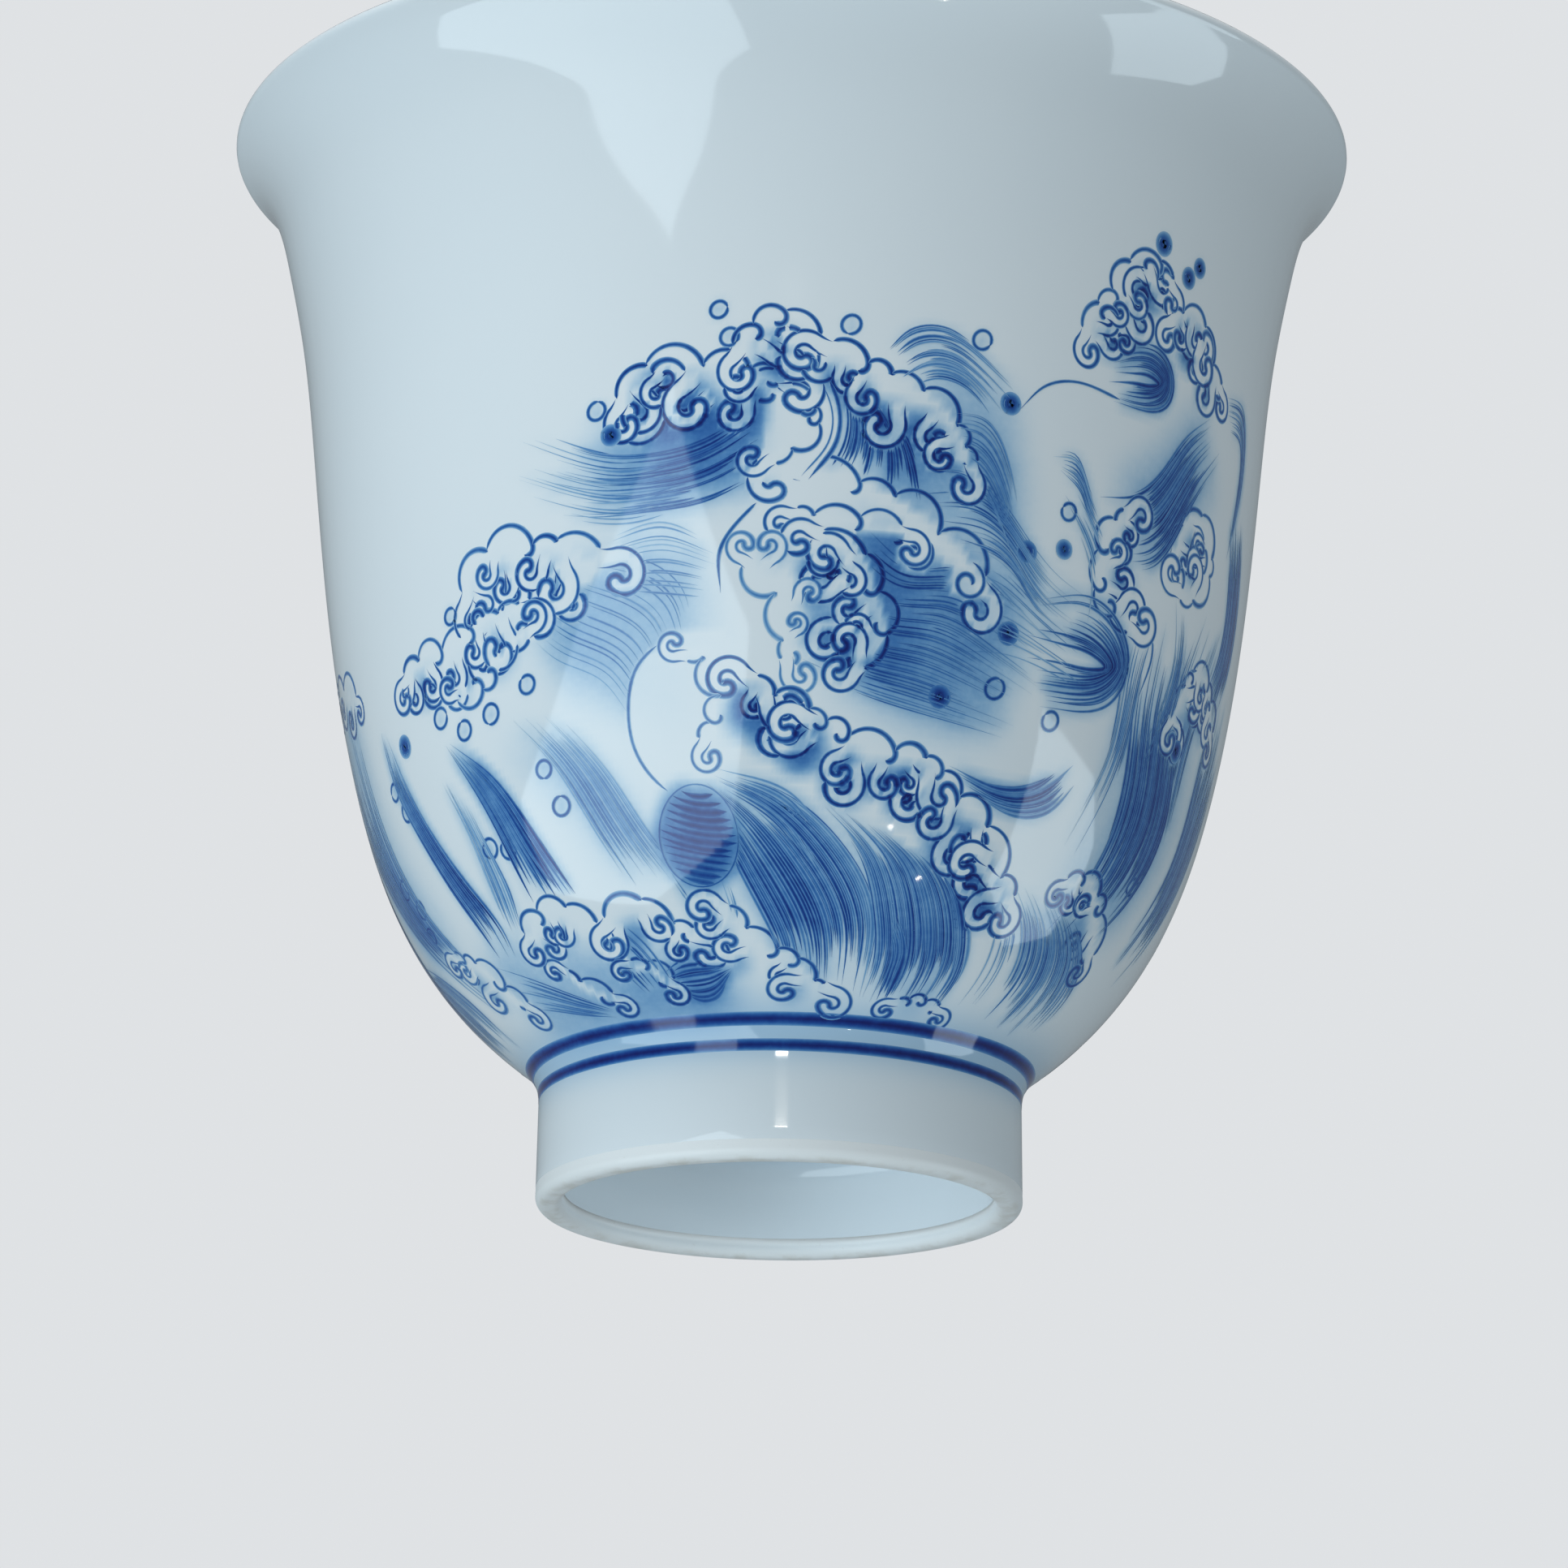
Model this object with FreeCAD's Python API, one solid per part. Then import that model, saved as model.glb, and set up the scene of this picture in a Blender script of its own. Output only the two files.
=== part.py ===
import FreeCAD, Part
import math
import os

# Porcelain teacup with a flared lip, a rounded belly and a tall straight foot ring.
# Millimetres. The origin is the centre of the circle that the cup stands on, and +Z is
# the cup's axis, towards the lip. Every piece is a ring or a shell turned about that axis.

V = FreeCAD.Vector

# ---- overall sizes -------------------------------------------------------------------
cup_height = 65.85       # table to the top of the lip
rim_radius = 34.0        # widest point of the lip
foot_radius = 14.2       # outside of the foot ring, glaze included, where it meets the bowl
foot_height = 6.3        # table to the bowl's flat underside

# ---- outline of the bowl's outside ---------------------------------------------------
cove_radius = 2.9        # hollow curve from the foot into the belly
cove_turn = 54.0         # degrees that the cove turns away from the axis
belly_low_rise = 6.5     # the belly's stations, measured up from the underside
belly_turn_rise = 11.5
belly_top_rise = 19.1
belly_low_fullness = 0.495    # how far each has come from the foot's radius to the belly's
belly_turn_fullness = 0.772
belly_inset = 8.45       # belly top, measured in from the lip
wall_swell = 0.36        # how far the wall's middle stands out of a straight line
waist_drop = 20.35       # the upper stations, measured down from the top of the lip
waist_inset = 5.4
shoulder_drop = 12.85
shoulder_inset = 4.46
neck_drop = 7.55
neck_inset = 3.4
throat_drop = 3.25
throat_inset = 2.05
lip_radius = 0.45        # half-round edge of the lip, glaze included
lip_angle = 50.0         # degrees that the lip leans away from the axis

# ---- walls ---------------------------------------------------------------------------
base_thickness = 3.4     # underside to the drinking floor, at the axis
floor_radius = 7.5       # flat middle of the drinking floor
wall_belly = 2.6         # wall at the low belly, glaze included
wall_throat = 1.35       # wall just under the lip, glaze included

# ---- foot ----------------------------------------------------------------------------
foot_wall = 1.6          # thickness of the ring where the cup stands on it
foot_flare = 0.07        # how much wider the ring is at the table than at the bowl
well_draft = 0.3         # how much narrower the well is at its ceiling than at its mouth
foot_round = 0.6         # rounding of the ring's two lower edges
slip_seam = 0.25         # slip that luts the ring to the bowl
bare_rim = 1.1           # height of the foot's edge that is wiped clean of glaze

# ---- coats ---------------------------------------------------------------------------
glaze = 0.25             # clear glaze
glaze_edge = 0.08        # glaze where it ends above the bare rim
cobalt = 0.1             # blue painting under the glaze

# ---- painting ------------------------------------------------------------------------
band_width = 0.52        # each of the two blue bands
lower_band_rise = 0.0    # the bands' lower edges, above the bowl's underside
upper_band_rise = 1.4
painting_rise = 2.2      # lower edge of the painted waves, above the bowl's underside
painting_drop = 12.25    # their highest crest, below the top of the lip


def outside_stations():
    """The points that the bowl's outside runs through, from the cove to the lip's edge."""
    turn = math.radians(cove_turn)
    cove_end = V(foot_radius + cove_radius * (1 - math.cos(turn)), 0,
                 foot_height + cove_radius * math.sin(turn))
    belly_radius = rim_radius - belly_inset
    spread = belly_radius - foot_radius
    low = V(foot_radius + belly_low_fullness * spread, 0, foot_height + belly_low_rise)
    rounded = V(foot_radius + belly_turn_fullness * spread, 0, foot_height + belly_turn_rise)
    top = V(belly_radius, 0, foot_height + belly_top_rise)
    waist = V(rim_radius - waist_inset, 0, cup_height - waist_drop)
    middle = (top + waist) * 0.5 + V(wall_swell, 0, 0)
    shoulder = V(rim_radius - shoulder_inset, 0, cup_height - shoulder_drop)
    neck = V(rim_radius - neck_inset, 0, cup_height - neck_drop)
    throat = V(rim_radius - throat_inset, 0, cup_height - throat_drop)
    return [cove_end, low, rounded, top, middle, waist, shoulder, neck, throat, lip_point(1)]


def lip_centre():
    """Centre of the lip's half-round edge."""
    return V(rim_radius - lip_radius, 0, cup_height - lip_radius)


def lip_point(side, inset=0.0):
    """Where the lip's round edge starts, outside (side 1) or inside (side -1)."""
    lean = math.radians(lip_angle)
    outwards = V(math.cos(lean), 0, -math.sin(lean))
    return lip_centre() + outwards * side * (lip_radius - inset)


def lip_direction():
    """Direction of both faces of the wall as they reach the lip, going up."""
    lean = math.radians(lip_angle)
    return V(math.sin(lean), 0, math.cos(lean))


def smooth(points, first, last):
    """A smooth curve through points, leaving along first and arriving along last."""
    curve = Part.BSplineCurve()
    curve.interpolate(Points=points, InitialTangent=first, FinalTangent=last, Scale=False)
    return curve


def inward_normals():
    """At each outside station, the direction from the outside into the wall."""
    points = outside_stations()
    turn = math.radians(cove_turn)
    curve = smooth(points, V(math.sin(turn), 0, math.cos(turn)), lip_direction())
    normals = []
    for point in points:
        along = curve.tangent(curve.parameter(point))[0]
        normals.append(V(-along.z, 0, along.x))
    return normals


def outside_edges(inset):
    """The bowl's outside from the foot to the lip's edge, moved into the wall by inset."""
    turn = math.radians(cove_turn)
    hollow = cove_radius + inset
    centre = V(foot_radius + cove_radius, 0, foot_height)
    start = centre + V(-hollow, 0, 0)
    middle = centre + V(-hollow * math.cos(turn / 2), 0, hollow * math.sin(turn / 2))
    end = centre + V(-hollow * math.cos(turn), 0, hollow * math.sin(turn))
    points = [p + n * inset for p, n in zip(outside_stations(), inward_normals())]
    points[0] = end
    points[-1] = lip_point(1, inset)
    wall = smooth(points, V(math.sin(turn), 0, math.cos(turn)), lip_direction())
    return [Part.Arc(start, middle, end).toShape(), wall.toShape()]


def inside_edges(inset):
    """The drinking side from the lip's edge to the floor's centre, moved in by inset."""
    stations = outside_stations()[1:-1]
    normals = inward_normals()[1:-1]
    points = [lip_point(-1, inset)]
    count = len(stations)
    for number in reversed(range(count)):
        share = number / (count - 1)
        wall = wall_belly + (wall_throat - wall_belly) * share - inset
        points.append(stations[number] + normals[number] * wall)
    floor = foot_height + base_thickness - inset
    points.append(V(floor_radius, 0, floor))
    wall = smooth(points, lip_direction() * -1, V(-1, 0, 0))
    return [wall.toShape(), line(V(floor_radius, 0, floor), V(0, 0, floor))]


def lip_edge(inset, first, last):
    """Part of the lip's round edge, between two angles from the outside round to the inside."""
    lean = math.radians(lip_angle)
    centre = lip_centre()
    radius = lip_radius - inset

    def at(degrees):
        angle = math.radians(degrees) - lean
        return centre + V(math.cos(angle), 0, math.sin(angle)) * radius

    return Part.Arc(at(first), at((first + last) / 2), at(last)).toShape()


def line(a, b):
    """A straight edge between two points."""
    return Part.LineSegment(a, b).toShape()


def section(edges):
    """A flat face bounded by edges."""
    loops = Part.sortEdges(edges)
    return Part.Face(Part.Wire(loops[0]))


def turned(face):
    """The solid that a section makes when it is turned about the cup's axis."""
    made = face.revolve(V(0, 0, 0), V(0, 0, 1), 360)
    solids = made.Solids
    return solids[0] if len(solids) == 1 else Part.Compound(solids)


def window(low, high):
    """A section as wide as the cup that holds only what lies between two heights."""
    reach = rim_radius + foot_radius
    return Part.makePlane(reach, high - low, V(0, 0, low), V(0, -1, 0), V(1, 0, 0))


def painted(low, high):
    """Section of the cobalt on the bowl's outside between two heights."""
    body = outside_edges(glaze)
    skin = outside_edges(glaze - cobalt)
    ends = [line(V(foot_radius - glaze, 0, foot_height),
                 V(foot_radius - glaze + cobalt, 0, foot_height)),
            line(lip_point(1, glaze), lip_point(1, glaze - cobalt))]
    return section(body + skin + ends).common(window(low, high)).Faces[0]


def foot_outside(height, inset):
    """A point on the foot's outside at a height, moved into the ring by inset."""
    return V(foot_radius + foot_flare * (1 - height / foot_height) - inset, 0, height)


def well_side(height, inset):
    """A point on the well's side at a height, moved into the ring by inset."""
    mouth = foot_radius + foot_flare - foot_wall
    return V(mouth - well_draft * height / foot_height + inset, 0, height)


def bowl_body():
    """The bowl: its wall from the lip to the flat underside that the foot is luted to."""
    outer = outside_edges(glaze)
    inner = inside_edges(glaze)
    edges = outer + inner + [lip_edge(glaze, 0, 180)]
    edges.append(line(V(foot_radius - glaze, 0, foot_height), V(0, 0, foot_height)))
    edges.append(line(V(0, 0, foot_height), V(0, 0, foot_height + base_thickness - glaze)))
    return turned(section(edges))


def foot_ring():
    """The foot: a tall ring with rounded lower edges, bare where the cup stands on it."""
    top = foot_height - slip_seam
    outer_top = foot_outside(top, glaze)
    outer_low = foot_outside(bare_rim, glaze_edge)
    inner_low = well_side(bare_rim, glaze_edge)
    inner_top = well_side(top, glaze)
    outer = foot_outside(0, 0).x
    inner = well_side(0, 0).x
    slant = foot_round * (1 - math.sqrt(0.5))
    edges = [line(inner_top, outer_top), line(outer_top, outer_low),
             line(outer_low, V(outer, 0, foot_round)),
             Part.Arc(V(outer, 0, foot_round), V(outer - slant, 0, slant),
                      V(outer - foot_round, 0, 0)).toShape(),
             line(V(outer - foot_round, 0, 0), V(inner + foot_round, 0, 0)),
             Part.Arc(V(inner + foot_round, 0, 0), V(inner + slant, 0, slant),
                      V(inner, 0, foot_round)).toShape(),
             line(V(inner, 0, foot_round), inner_low), line(inner_low, inner_top)]
    return turned(section(edges))


def luting_slip():
    """The seam of slip between the foot ring and the bowl's underside."""
    top = foot_height - slip_seam
    corners = [well_side(top, glaze), foot_outside(top, glaze),
               V(foot_radius - glaze, 0, foot_height),
               V(well_side(foot_height, glaze).x, 0, foot_height)]
    return turned(section([line(a, b) for a, b in zip(corners, corners[1:] + corners[:1])]))


def outer_glaze(paintings):
    """Clear glaze outside, from the foot's bare edge to the lip's crest, over the cobalt."""
    seam = foot_height - slip_seam
    edges = outside_edges(0) + outside_edges(glaze)
    edges += [lip_edge(0, 0, 90), lip_edge(glaze, 0, 90)]
    lean = math.radians(90 - lip_angle)
    crest = V(math.cos(lean), 0, math.sin(lean))
    edges.append(line(lip_centre() + crest * lip_radius,
                      lip_centre() + crest * (lip_radius - glaze)))
    edges += [line(V(foot_radius, 0, foot_height), foot_outside(bare_rim, 0)),
              line(foot_outside(bare_rim, 0), foot_outside(bare_rim, glaze_edge)),
              line(foot_outside(bare_rim, glaze_edge), foot_outside(seam, glaze)),
              line(foot_outside(seam, glaze), V(foot_radius - glaze, 0, foot_height))]
    coat = section(edges)
    for painting in paintings:
        coat = coat.cut(painting)
    return turned(coat.Faces[0])


def inner_glaze():
    """Clear glaze on the drinking side, from the lip's crest to the floor."""
    lean = math.radians(90 - lip_angle)
    crest = V(math.cos(lean), 0, math.sin(lean))
    floor = foot_height + base_thickness
    edges = inside_edges(0) + inside_edges(glaze)
    edges += [lip_edge(0, 90, 180), lip_edge(glaze, 90, 180),
              line(lip_centre() + crest * lip_radius,
                   lip_centre() + crest * (lip_radius - glaze)),
              line(V(0, 0, floor), V(0, 0, floor - glaze))]
    return turned(section(edges))


def well_glaze():
    """Clear glaze in the foot's well: its side, from the bare edge up, and its ceiling."""
    seam = foot_height - slip_seam
    ceiling = foot_height - glaze
    corners = [well_side(bare_rim, glaze_edge), well_side(seam, glaze),
               V(well_side(foot_height, glaze).x, 0, foot_height), V(0, 0, foot_height),
               V(0, 0, ceiling), well_side(ceiling, 0), well_side(bare_rim, 0)]
    return turned(section([line(a, b) for a, b in zip(corners, corners[1:] + corners[:1])]))


def write_parts():
    """Builds every piece and writes each to its own STEP file."""
    os.makedirs("parts", exist_ok=True)
    low = foot_height + lower_band_rise
    high = foot_height + upper_band_rise
    sections = {
        "lower_blue_band": painted(low, low + band_width),
        "upper_blue_band": painted(high, high + band_width),
        "wave_painting": painted(foot_height + painting_rise, cup_height - painting_drop),
    }
    pieces = {name: turned(face) for name, face in sections.items()}
    pieces["bowl_body"] = bowl_body()
    pieces["foot_ring"] = foot_ring()
    pieces["luting_slip"] = luting_slip()
    pieces["outer_glaze"] = outer_glaze(sections.values())
    pieces["inner_glaze"] = inner_glaze()
    pieces["well_glaze"] = well_glaze()
    for name, shape in sorted(pieces.items()):
        if not shape.isValid() or shape.Volume <= 0:
            raise ValueError(f"{name} is not a sound solid")
        shape.exportStep(f"parts/{name}.step")
        box = shape.BoundBox
        print(f"{name:16s} {len(shape.Solids)} solid  {shape.Volume:9.1f} mm3  "
              f"z {box.ZMin:6.2f} to {box.ZMax:6.2f}  r {box.XMax:6.2f}")


write_parts()
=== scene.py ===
import logging
import math
from dataclasses import dataclass, field
from enum import Enum

import bpy
import numpy as np
from mathutils import Matrix, Vector


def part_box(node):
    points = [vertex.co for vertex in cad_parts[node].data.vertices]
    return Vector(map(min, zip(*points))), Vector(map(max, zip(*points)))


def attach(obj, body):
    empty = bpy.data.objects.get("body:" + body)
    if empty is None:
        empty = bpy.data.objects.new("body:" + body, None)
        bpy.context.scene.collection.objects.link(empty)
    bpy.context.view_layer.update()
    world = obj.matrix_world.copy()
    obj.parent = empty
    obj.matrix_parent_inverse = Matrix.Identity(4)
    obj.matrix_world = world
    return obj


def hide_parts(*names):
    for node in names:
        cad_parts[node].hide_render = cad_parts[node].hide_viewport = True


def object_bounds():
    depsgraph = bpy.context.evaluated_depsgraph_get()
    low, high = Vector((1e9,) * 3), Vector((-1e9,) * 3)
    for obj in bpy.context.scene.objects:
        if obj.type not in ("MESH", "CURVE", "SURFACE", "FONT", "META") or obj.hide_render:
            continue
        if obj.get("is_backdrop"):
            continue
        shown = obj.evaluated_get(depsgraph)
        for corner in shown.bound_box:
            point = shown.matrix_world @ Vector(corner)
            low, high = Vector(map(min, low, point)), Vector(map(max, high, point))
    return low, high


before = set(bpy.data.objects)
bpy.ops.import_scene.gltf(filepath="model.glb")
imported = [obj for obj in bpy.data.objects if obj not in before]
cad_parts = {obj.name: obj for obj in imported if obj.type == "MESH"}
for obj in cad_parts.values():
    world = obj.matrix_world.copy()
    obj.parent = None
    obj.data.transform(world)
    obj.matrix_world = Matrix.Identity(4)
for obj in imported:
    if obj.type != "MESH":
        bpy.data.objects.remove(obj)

Array, Finish, Mesh = np.ndarray, bpy.types.Material, bpy.types.Mesh
Piece, Socket = bpy.types.Object, bpy.types.NodeSocket
LOG = logging.getLogger("teacup")
MM = 0.001
FINE = 0.05          # spacing of the points that outlines are measured on, millimetres
MID_GIRTH = 26.5     # radius at which the flat painting plan is laid out, millimetres
MAP_HEIGHT = 72.0    # millimetres up the wall that fill the painted pieces' map
MAP_START = 0.09     # where the foot's top comes on that map


# ---- node and material helpers -------------------------------------------------------
class Value:
    """A number carried by a node socket, on which plain arithmetic adds math nodes."""

    def __init__(self, bench: "Bench", socket: Socket) -> None:
        """Wraps a socket.

        Args:
            bench: The tree that the socket belongs to.
            socket: The output socket that carries the number.
        """
        self.bench = bench
        self.socket = socket

    def then(self, operation: str, *others: object) -> "Value":
        """Adds a math node.

        Args:
            operation: The math node's operation.
            others: Its further inputs, numbers or values.

        Returns:
            The node's result.
        """
        values = {number: other for number, other in enumerate((self, *others))}
        node = self.bench.add("ShaderNodeMath", {"operation": operation}, values)
        return Value(self.bench, node.outputs[0])

    def _after(self, operation: str, first: float) -> "Value":
        """Adds a math node whose first input is a number and whose second is this value."""
        node = self.bench.add("ShaderNodeMath", {"operation": operation}, {0: first, 1: self})
        return Value(self.bench, node.outputs[0])

    def __add__(self, other: object) -> "Value":
        """Sum."""
        return self.then("ADD", other)

    def __radd__(self, other: float) -> "Value":
        """Sum with a number on the left."""
        return self._after("ADD", other)

    def __sub__(self, other: object) -> "Value":
        """Difference."""
        return self.then("SUBTRACT", other)

    def __rsub__(self, other: float) -> "Value":
        """Difference with a number on the left."""
        return self._after("SUBTRACT", other)

    def __mul__(self, other: object) -> "Value":
        """Product."""
        return self.then("MULTIPLY", other)

    def __rmul__(self, other: float) -> "Value":
        """Product with a number on the left."""
        return self._after("MULTIPLY", other)

    def __neg__(self) -> "Value":
        """The same size with the other sign."""
        return self * -1.0

    def exp(self) -> "Value":
        """e to the power of this value."""
        return self.then("EXPONENT")

    def above(self, low: float, high: float) -> "Value":
        """How far the value has come from low to high, from 0 to 1, eased at both ends."""
        node = self.bench.add("ShaderNodeMapRange", {"interpolation_type": "SMOOTHSTEP"}, {"Value": self,
            "From Min": low, "From Max": high})
        return Value(self.bench, node.outputs["Result"])


class Bench:
    """Puts nodes into one tree, each with its settings first and then its inputs."""

    def __init__(self, tree: bpy.types.NodeTree) -> None:
        """Starts on a tree.

        Args:
            tree: The material's or modifier's node tree.
        """
        self.tree = tree

    def add(self, kind: str, settings: dict | None = None,
            values: dict | None = None) -> bpy.types.Node:
        """Adds one node.

        Args:
            kind: The node's type name.
            settings: The node's own properties.
            values: Its inputs by name or number: a number, a Value, or a socket to link.

        Returns:
            The new node.
        """
        node = self.tree.nodes.new(kind)
        for key, setting in (settings or {}).items():
            setattr(node, key, setting)
        for key, value in (values or {}).items():
            socket = node.inputs[key]
            if isinstance(value, Value):
                self.tree.links.new(value.socket, socket)
            elif isinstance(value, Socket):
                self.tree.links.new(value, socket)
            else:
                socket.default_value = value
        return node

    def wire(self, kind: str, settings: dict | None = None,
             values: dict | None = None) -> Socket:
        """Adds one node and gives its first output."""
        return self.add(kind, settings, values).outputs[0]

    def shape(self, kind: str, values: dict | None = None) -> Socket:
        """Adds one geometry node that needs no settings, and gives its first output."""
        return self.wire("GeometryNode" + kind, None, values)

    def split(self, vector: Socket) -> list:
        """The three numbers of a vector."""
        node = self.add("ShaderNodeSeparateXYZ", None, {0: vector})
        return [Value(self, part) for part in node.outputs]

    def join(self, *parts: Value) -> Socket:
        """A vector from three numbers."""
        return self.wire("ShaderNodeCombineXYZ", None, dict(enumerate(parts)))

    def noise(self, size: float, detail: float = 3.0, stretch: tuple = (1, 1, 1)) -> Value:
        """Noise that is fixed to the object.

        Args:
            size: Size of its blotches, in metres.
            detail: How many finer layers it has.
            stretch: How much closer the blotches stand along each axis.

        Returns:
            The noise, about 0.5 on average.
        """
        place = self.add("ShaderNodeTexCoord").outputs["Object"]
        scaled = self.wire("ShaderNodeVectorMath", {"operation": "MULTIPLY"}, {0: place, 1: stretch})
        node = self.add("ShaderNodeTexNoise", {"noise_dimensions": "3D"}, {"Vector": scaled,
            "Scale": 1 / size, "Detail": detail, "Roughness": 0.55})
        return Value(self, node.outputs["Fac"])

    def height(self) -> Value:
        """Height above the table, in metres."""
        return self.split(self.add("ShaderNodeTexCoord").outputs["Object"])[2]

    def attribute(self, name: str) -> Value:
        """A number stored on the mesh's points."""
        node = self.add("ShaderNodeAttribute", {"attribute_name": name})
        return Value(self, node.outputs["Fac"])

    def colour(self, parts: list) -> Socket:
        """A colour from three values."""
        return self.wire("ShaderNodeCombineColor", None, dict(enumerate(parts)))

    def dress(self, shader: bpy.types.Node, colour: list, roughness: Value, relief: Value,
              strength: float, depth: float) -> None:
        """Links what changes over a surface to its shader.

        Args:
            shader: The Principled shader.
            colour: Red, green and blue.
            roughness: How dull the surface is.
            relief: Height of the fine relief, 0 to 1.
            strength: How strongly the relief shows.
            depth: What 1 of the relief stands for, in metres.
        """
        bump = self.wire("ShaderNodeBump", None, {"Strength": strength, "Distance": depth,
            "Height": relief})
        for name, socket in (("Base Color", self.colour(colour)),
                             ("Roughness", roughness.socket), ("Normal", bump)):
            self.tree.links.new(socket, shader.inputs[name])


def empty_material(name: str) -> tuple[Finish, Bench]:
    """Starts a material without a node.

    Args:
        name: Its name.

    Returns:
        The material, and the bench for its nodes.
    """
    material = bpy.data.materials.new(name)
    material.use_nodes = True
    material.node_tree.nodes.clear()
    return material, Bench(material.node_tree)


def new_material(name: str) -> tuple[Finish, Bench, bpy.types.Node]:
    """Starts a material with its shader.

    Args:
        name: Its name.

    Returns:
        The material, the bench for its nodes, and its Principled shader.
    """
    material, bench = empty_material(name)
    shader = bench.add("ShaderNodeBsdfPrincipled")
    bench.add("ShaderNodeOutputMaterial", None, {"Surface": shader.outputs[0]})
    return material, bench, shader


# ---- finishes ------------------------------------------------------------------------
@dataclass(frozen=True)
class GlazedPorcelain:
    """White porcelain under a clear glaze, with or without cobalt between the two."""

    name: str = "clear_glaze"
    painted: bool = False
    white: tuple = (0.80, 0.835, 0.85)
    soaks_up: tuple = (4.6, 2.55, 1.08)      # how strongly cobalt takes red, green and blue
    cove_pool_and_shade_height: float = 0.0074              # where the glaze gathers in the cove, above the table, deepened there into painted shade
    cove_pool_and_shade_narrow: float = 650.0               # how fast the pool thins out, up and down
    cove_pool_and_shade_depth: float = 0.143
    cast: float = 0.006                      # the faint blue of the glaze itself
    cloud_size: float = 0.018
    wash_size: float = 0.0022
    grain_size: float = 0.00035
    streak_size: float = 0.0011
    film_size: float = 0.0035
    gloss: tuple = (0.035, 0.045)            # least roughness, and what the film adds to it
    waviness_size: float = 0.006
    pit_size: float = 0.0006
    waviness: float = 0.000004
    bends_light: float = 1.52

    def make(self) -> Finish:
        """Builds the material.

        Returns:
            The finished material.
        """
        material, bench, shader = new_material(self.name)
        # Darkens the cove between the two bands to blue-grey. Part of this is glaze pooled in the hollow,
        # and part is painted shade of the recess.
        gap = (bench.height() - self.cove_pool_and_shade_height) * self.cove_pool_and_shade_narrow
        pool_and_painted_shade = (-(gap * gap)).exp() * self.cove_pool_and_shade_depth
        density = pool_and_painted_shade + (bench.noise(self.cloud_size, 2.0) - 0.5) * 0.012 + self.cast
        if self.painted:
            blot = bench.noise(self.wash_size, 4.0) - 0.5
            grain = bench.noise(self.grain_size, 2.0) - 0.5
            streak = bench.noise(self.streak_size, 3.0, (1.0, 1.0, 2.6)) - 0.5
            uneven = 1.0 + blot * 0.55 + grain * 0.35 + streak * 0.35
            density = density + bench.attribute("cobalt") * uneven
        colour = [(-(density * soaked)).exp() * bright for soaked,
            bright in zip(self.soaks_up, self.white)]
        least, dulled = self.gloss
        roughness = least + bench.noise(self.film_size, 3.0) * dulled
        relief = bench.noise(self.waviness_size, 1.5) + bench.noise(self.pit_size, 1.0) * 0.035
        bench.dress(shader, colour, roughness, relief, 1.0, self.waviness)
        shader.inputs["IOR"].default_value = self.bends_light
        return material


@dataclass(frozen=True)
class BarePorcelain:
    """Unglazed porcelain, smooth from the wheel and rubbed where the cup stands."""

    name: str = "bare_porcelain"
    white: tuple = (0.86, 0.87, 0.86)
    rubbed: tuple = (0.66, 0.63, 0.57)
    rub_height: float = 0.00025              # how far up the foot the table has rubbed it
    patch_size: float = 0.0016
    speck_size: float = 0.0003
    grain_size: float = 0.00012
    turning_size: float = 0.0004
    grain_depth: float = 0.000012

    def make(self) -> Finish:
        """Builds the material.

        Returns:
            The finished material.
        """
        material, bench, shader = new_material(self.name)
        rub = 1.0 - bench.height().above(0.0, self.rub_height)
        patch = bench.noise(self.patch_size, 4.0).above(0.42, 0.68)
        speck = bench.noise(self.speck_size, 2.0).above(0.66, 0.74)
        worn = rub * patch * 0.55 + speck * 0.16
        colour = [clean + worn * (dull - clean) for clean, dull in zip(self.white, self.rubbed)]
        grain = bench.noise(self.grain_size, 3.0)
        turning = bench.noise(self.turning_size, 2.0, (0.06, 0.06, 1.0))
        bench.dress(shader, colour, 0.36 + grain * 0.16 + rub * 0.12, grain * 0.6 + turning * 0.4, 0.6,
            self.grain_depth)
        return material


# ---- outline -------------------------------------------------------------------------
def smooth_line(points: Array, first: Array, last: Array, spacing: float) -> Array:
    """A smooth curve through points, leaving along first and arriving along last.

    Args:
        points: The stations, two numbers each.
        first: Unit direction at the first station.
        last: Unit direction at the last station.
        spacing: Distance between the points that are returned.

    Returns:
        Points along the curve, about evenly spaced.
    """
    p = np.array(points, float)
    h = np.hypot(*np.diff(p, axis=0).T)
    count = len(p)
    left, right = np.eye(count), np.zeros((count, 2))
    right[0], right[-1] = first, last
    for i in range(1, count - 1):
        left[i, i - 1:i + 2] = h[i], 2 * (h[i - 1] + h[i]), h[i - 1]
        right[i] = 3 * (h[i] * (p[i] - p[i - 1]) / h[i - 1] + h[i - 1] * (p[i + 1] - p[i]) / h[i])
    slope = np.linalg.solve(left, right)
    out = []
    for i in range(count - 1):
        steps = max(2, int(round(h[i] / spacing)))
        u = np.linspace(0, 1, steps, endpoint=False)[:, None]
        out.append((2 * u**3 - 3 * u**2 + 1) * p[i] + (u**3 - 2 * u**2 + u) * h[i] * slope[i] + (3 * u**2
            - 2 * u**3) * p[i + 1] + (u**3 - u**2) * h[i] * slope[i + 1])
    out.append(p[-1:])
    return np.concatenate(out)


def along(path: Array) -> Array:
    """Distance along a path at each of its points."""
    return np.concatenate([[0.0], np.cumsum(np.hypot(*np.diff(path, axis=0).T))])


def points_at(path: Array, far: Array, wanted: Array) -> Array:
    """The points of a path where a rising measure along it, far, has the wanted values."""
    return np.stack([np.interp(wanted, far, path[:, k]) for k in (0, 1)], -1)


def facing(angle: Array) -> Array:
    """Steps of length one in the given directions, in radians."""
    return np.stack([np.cos(angle), np.sin(angle)], 1)


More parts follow.
